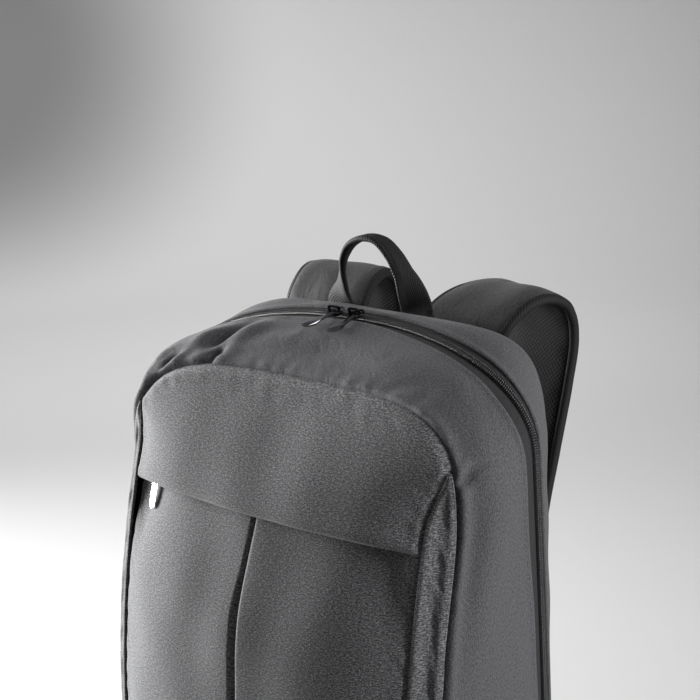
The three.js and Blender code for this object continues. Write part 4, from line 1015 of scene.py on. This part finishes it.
def add_handle():
    rows = np.array(HANDLE, float)
    foot_y = float(back_seam.y_at(HANDLE_SPACING / 2, 0)) - WEBBING_THICKNESS / 2 - SEAM_GAP
    foot_z = back_seam.top - HANDLE_SUNK
    rise = HANDLE_RISE - GRIP_THICKNESS + HANDLE_SUNK
    points = np.column_stack([
        rows[:, 0] * HANDLE_SPACING, foot_y - rows[:, 2] * rise, foot_z + rows[:, 1] * rise,
    ])
    middles = catmull(points, HANDLE_STEPS)
    turns = np.radians(steps_of(rows, 3, middles, HANDLE_STEPS))
    fold = steps_of(rows, 4, middles, HANDLE_STEPS)
    along, across = directions(middles, turns)
    widths = mix(WEBBING_WIDTH, GRIP_WIDTH, fold)
    sections = rounded_strip(widths, mix(WEBBING_THICKNESS, GRIP_THICKNESS, fold))
    up = np.cross(along, across)
    obj = swept("handle_webbing", middles, across, up, sections, WEBBING, run_along(sections[0]))
    on_bag(obj, "webbing", "handle")


# Shoulder straps, in shares of the back's half width, the straps' reach, the bag's height and their width:
# (out, out at the left, reach, up, turn in degrees, width)
STRAP = [
    (0.38, 0.47, 0, 0.895, 0, 1.03), (0.42, 0.48, 0.02, 0.94, 0, 1.03), (0.47, 0.5, 0.12, 0.99, 4, 1.02),
    (0.54, 0.52, 0.34, 1.02, 12, 1.01), (0.59, 0.55, 0.6, 1.026, 17, 1), (0.61, 0.57, 0.84, 1.006, 17, 1),
    (0.61, 0.59, 0.95, 0.96, 16, 1), (0.605, 0.6, 0.84, 0.895, 14, 1), (0.6, 0.6, 0.59, 0.8, 10, 1),
    (0.6, 0.6, 0.32, 0.7, 5, 0.99), (0.61, 0.61, 0.17, 0.6, 2, 0.96), (0.63, 0.63, 0.1, 0.5, 0, 0.9),
    (0.67, 0.67, 0.08, 0.41, 0, 0.8), (0.71, 0.71, 0.08, 0.35, 0, 0.66),
]
LEFT_STRAP_TURN = 0.2
STRAP_STEPS = 12
PLAIN_EDGE = 9
# The lower webbing after its adjuster: (out, reach, up)
LOWER_ROUTE = [(0.755, 0.075, 0.275), (0.8, 0.1, 0.225), (0.845, 0.08, 0.17), (0.88, 0.035, 0.125)]
LOWER_WIDTH = 20
LOWER_THICKNESS = 1.6

# Ladder-lock adjuster
LADDER_WIDTH = 27
LADDER_LENGTH = 24
LADDER_THICKNESS = 4.2
LADDER_BAR = 3.2
LADDER_MIDDLE_BAR = 3
LADDER_MIDDLE = -1.5
LADDER_SIDE = 3.6
LADDER_FROM_PAD = 12.4
LADDER_END = 25
LADDER_ROUNDING = 0.6
METAL_ROUNDING = 0.25


def strap_middle(out, reach, up, side):
    x = side * out * back_seam.half
    z = up * HEIGHT
    outer = np.minimum(np.abs(x) + STRAP_WIDTH / 2, back_seam.half)
    panel_z = np.minimum(z, back_seam.top - BACK_SHOULDER / 4)
    panel = np.maximum(back_panel_y(outer, panel_z), back_panel_y(x, panel_z))
    return np.stack([x, panel + STRAP_CLEAR + STRAP_THICKNESS / 2 + reach * STRAP_REACH, z], axis=-1)


def pad_section(half):
    """The pad: crowned on both faces and thin where its binding wraps its edges."""
    a = np.linspace(-1, 1, 21)
    thin, thick = STRAP_EDGE / 2, STRAP_THICKNESS / 2
    inner = half - 1.8
    full = thin + (thick - thin) * (1 - np.abs(a) ** 4.5) ** 0.6
    lower = np.column_stack([a * inner, -full])
    upper = np.column_stack([-a * inner, full])
    return np.vstack([lower, upper])


def binding_section(half, edge):
    """Binding tape folded round one edge of the pad."""
    inside = STRAP_EDGE / 2 + SEAM_GAP
    outside = inside + BINDING_THICKNESS
    start, spine = half - BINDING_WIDTH, half - BINDING_THICKNESS
    turn = [math.radians(-90 + 180 * k / 6) for k in range(7)]
    outer = [(half - outside + outside * math.cos(t), outside * math.sin(t)) for t in turn]
    inner = [(spine - inside + inside * math.cos(t), inside * math.sin(t)) for t in reversed(turn)]
    upper_end = [(start, outside - 0.15), (start - 0.3, outside - 0.7), (start, inside)]
    lower_end = [(start, -inside), (start - 0.3, -outside + 0.7)]
    ring = np.array([(start, -outside + 0.15), *outer, *upper_end, *inner, *lower_end])
    return ring if edge > 0 else (ring * [-1, 1])[::-1]


def strap_stations(side):
    """The middle line of a shoulder strap, its directions along, across and up, and its half width."""
    rows = np.array(STRAP, float)
    out = rows[:, 1] if side < 0 else rows[:, 0]
    middles = catmull(strap_middle(out, rows[:, 2], rows[:, 3], side), STRAP_STEPS)
    turning = LEFT_STRAP_TURN if side < 0 else -1
    turns = np.radians(turning * steps_of(rows, 4, middles, STRAP_STEPS))
    half = STRAP_WIDTH / 2 * steps_of(rows, 5, middles, STRAP_STEPS)
    along, across = directions(middles, turns)
    return middles, along, across, np.cross(across, along), half


def add_strap(side, name):
    middles, _, across, up, half = strap_stations(side)
    sections = np.array([pad_section(h) for h in half])
    wrinkle = waves(run_along(middles)[:, None], sections[..., 0], STRAP_WRINKLES[name])
    inward = np.abs(sections[..., 0]) < (half - PLAIN_EDGE)[:, None]
    sections[..., 1] += wrinkle * inward * np.sign(sections[..., 1])
    count = sections.shape[1] // 2
    kinds = [1] * count + [0] * count
    uv_across = np.concatenate([sections[0, :count, 0], -sections[0, :count, 0]])
    pad = swept(f"{name}_pad_foam", middles, across, up, sections, [STRAP_CLOTH, MESH], uv_across, kinds)
    on_bag(pad, "plain_cloth", f"{name}_pad")
    for edge, place in ((side, "outer"), (-side, "inner")):
        ring = np.array([binding_section(h, edge) for h in half])
        tape = swept(f"{name}_{place}_tape", middles, across, up, ring, WEBBING, run_along(ring[0]))
        on_bag(tape, "webbing", f"{name}_{place}_binding")


def add_lower_strap(side, name):
    middles, along, across, up, _ = strap_stations(side)
    end, down = middles[-1], along[-1]
    ladder = adjuster(f"{name}_ladder", end + down * LADDER_FROM_PAD, down, across[-1], up[-1])
    on_bag(ladder, "plastic", f"{name}_adjuster")
    rows = np.array(LOWER_ROUTE, float)
    route = strap_middle(rows[:, 0], rows[:, 1], rows[:, 2], side)
    points = np.vstack([end + down * LADDER_END, end + down * (LADDER_END + 10), route])
    line = catmull(points, 8)
    along, across = directions(line, np.zeros(len(line)))
    same = np.ones(len(line))
    sections = rounded_strip(LOWER_WIDTH * same, LOWER_THICKNESS * same)
    up = np.cross(across, along)
    webbing = swept(f"{name}_lower_webbing", line, across, up, sections, WEBBING, run_along(sections[0]))
    on_bag(webbing, "webbing", f"{name}_webbing")


def adjuster(name, centre, down, across, up):
    """A ladder-lock buckle: two side bars and three cross bars."""
    side_bar = LADDER_WIDTH / 2 - LADDER_SIDE / 2
    end_bar = LADDER_LENGTH / 2 - LADDER_BAR / 2
    bars = [(0, place, LADDER_WIDTH, LADDER_BAR) for place in (-end_bar, end_bar)]
    bars.append((0, LADDER_MIDDLE, LADDER_WIDTH, LADDER_MIDDLE_BAR))
    bars += [(place, 0, LADDER_SIDE, LADDER_LENGTH) for place in (-side_bar, side_bar)]
    ends = (-0.5, 0.5)
    box_faces = ((0, 1, 3, 2), (4, 6, 7, 5), (0, 4, 5, 1), (2, 3, 7, 6), (0, 2, 6, 4), (1, 5, 7, 3))
    points, faces = [], []
    for over, along, width, length in bars:
        base = len(points)
        points += [
            centre + across * (over + a * width) + down * (along + b * length) + up * (c * LADDER_THICKNESS)
            for a in ends for b in ends for c in ends
        ]
        faces += [tuple(base + k for k in face) for face in box_faces]
    return round_edges(make_object(name, points, faces, ACETAL), LADDER_ROUNDING)


FINISHES = {
    "pocket_back_wall": PLAIN, "pocket_zip": TAPE, "left_strap_tab": WEBBING, "right_strap_tab": WEBBING,
    "main_zip_slider_left": GUNMETAL, "main_zip_slider_right": GUNMETAL,
    "main_zip_pull_left": BLACK_NICKEL, "main_zip_pull_right": BLACK_NICKEL,
    "pocket_zip_slider": SATIN, "pocket_zip_pull": SATIN,
}


def finish_kept_nodes():
    """CAD pieces that keep their shape get their finish."""
    for node, material in FINISHES.items():
        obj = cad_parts[node]
        for slot in obj.material_slots:
            slot.material = material
        if "pull" in node or "slider" in node:
            round_edges(obj, METAL_ROUNDING)


# Camera, floor and light
AZIMUTH = 40.85
ELEVATION = 14.7
ROLL = -2.18
LENS = 74.57
CAMERA_PLACE = (0.5772, -0.6338, 0.6421)


def add_camera():
    a, e, r = (math.radians(v) for v in (AZIMUTH, ELEVATION, ROLL))
    back = Vector((math.sin(a) * math.cos(e), -math.cos(a) * math.cos(e), math.sin(e)))
    level = Vector((math.cos(a), math.sin(a), 0))
    upright = back.cross(level)
    right = level * math.cos(r) + upright * math.sin(r)
    up = upright * math.cos(r) - level * math.sin(r)
    data = bpy.data.cameras.new("camera")
    data.lens, data.sensor_width, data.clip_start = LENS, 36, 0.01
    camera = bpy.data.objects.new("camera", data)
    camera.matrix_world = Matrix.Translation(CAMERA_PLACE) @ Matrix((right, up, back)).transposed().to_4x4()
    bpy.context.scene.collection.objects.link(camera)
    bpy.context.scene.camera = camera


def add_area_light(name, place, target, size, power, height, spread=150):
    data = bpy.data.lights.new(name, "AREA")
    data.shape = "RECTANGLE"
    data.size, data.size_y, data.energy = size, height, power
    data.spread = math.radians(spread)
    light = bpy.data.objects.new(name, data)
    light.location = place
    light.rotation_euler = (Vector(target) - Vector(place)).to_track_quat("-Z", "Y").to_euler()
    bpy.context.scene.collection.objects.link(light)


def spot(tree, centre, reach):
    """A value that falls from 1 at a centre to 0 at its reach."""
    place = add(tree, "TexCoord").outputs["Object"]
    centred = add(tree, "Mapping", {"Vector": place}, vector_type="TEXTURE")
    centred.inputs["Location"].default_value = centre
    centred.inputs["Scale"].default_value = reach
    fall = add(tree, "TexGradient", {"Vector": centred.outputs["Vector"]}, gradient_type="SPHERICAL")
    return fall.outputs["Fac"]


def backdrop_with_painted_light():
    """Matt paper with painted light on it: a painted pool of light behind the left of the bag, and painted
    shade towards the upper left and the right.
    """
    material, tree, shader = new_material("backdrop_paper_with_painted_light", Roughness=0.95)
    # Painted light: a pale pool behind the bag's left, and painted shade that darkens the upper left
    pale = two_tone(tree, spot(tree, (-1.7, 1.2, 0.25), (2.6, 2.6, 1.7)), "#a2a2a2", "#efefef", 0.05, 0.75)
    painted_shade_upper_left = two_tone(tree, spot(tree, (-2.45, 1.35, 0.5), (1, 1, 1)), "#ffffff", "#9e9e9e", 0.1, 0.72)
    for tone in (pale, painted_shade_upper_left):
        tone.color_ramp.interpolation = "EASE"
    paint = multiplied(tree, pale.outputs["Color"], painted_shade_upper_left.outputs["Color"])
    tree.links.new(paint, shader.inputs["Base Color"])
    return material


def add_studio():
    """A pale floor that curves up into a wall all round, open at the top."""
    flat, curve, wall = 2.0, 0.9, 3.2
    profile = [(1.0, 0.0), (flat, 0.0)]
    for k in range(1, 13):
        angle = math.pi / 2 * k / 12
        profile.append((flat + curve * math.sin(angle), curve * (1 - math.cos(angle))))
    profile.append((flat + curve, wall))
    count = 96
    points = [
        (r * math.cos(2 * math.pi * n / count), r * math.sin(2 * math.pi * n / count), z)
        for r, z in profile for n in range(count)
    ]
    faces = grid_faces(len(profile), count, closed=True)
    faces.append(tuple(range(count)))
    floor = make_object("studio_cove", np.array(points) / MM, faces, backdrop_with_painted_light())
    world = bpy.data.worlds.new("studio_air")
    bpy.context.scene.world = world
    world.use_nodes = True
    world.node_tree.nodes["Background"].inputs["Color"].default_value = colour("#dcdcdc")
    world.node_tree.nodes["Background"].inputs["Strength"].default_value = 0.36
    target = (0, -0.02, 0.34)
    add_area_light("key_left", (-1.5, -0.3, 0.42), target, 0.7, 27, 0.9, 80)
    add_area_light("strip_right", (1.4, 0.25, 0.65), target, 0.35, 10, 1.1, 90)
    add_area_light("front_fill", (0.9, -1.5, 0.9), target, 0.8, 0.6, 0.8, 90)
    add_area_light("wall_wash", (-0.3, 0.9, 2.2), (-1.7, 1.5, 0.2), 1.2, 22, 1.2)


bpy.context.scene.view_settings.view_transform = "Standard"
add_camera()
add_studio()
add_main_gusset()
add_rear_gusset()
add_tapes()
add_coil()
add_upper_panel()
add_lower_panels()
add_wedges()
add_back_panel()
add_base()
add_handle()
for strap_side, strap_name in ((-1, "left_strap"), (1, "right_strap")):
    add_strap(strap_side, strap_name)
    add_lower_strap(strap_side, strap_name)
finish_kept_nodes()
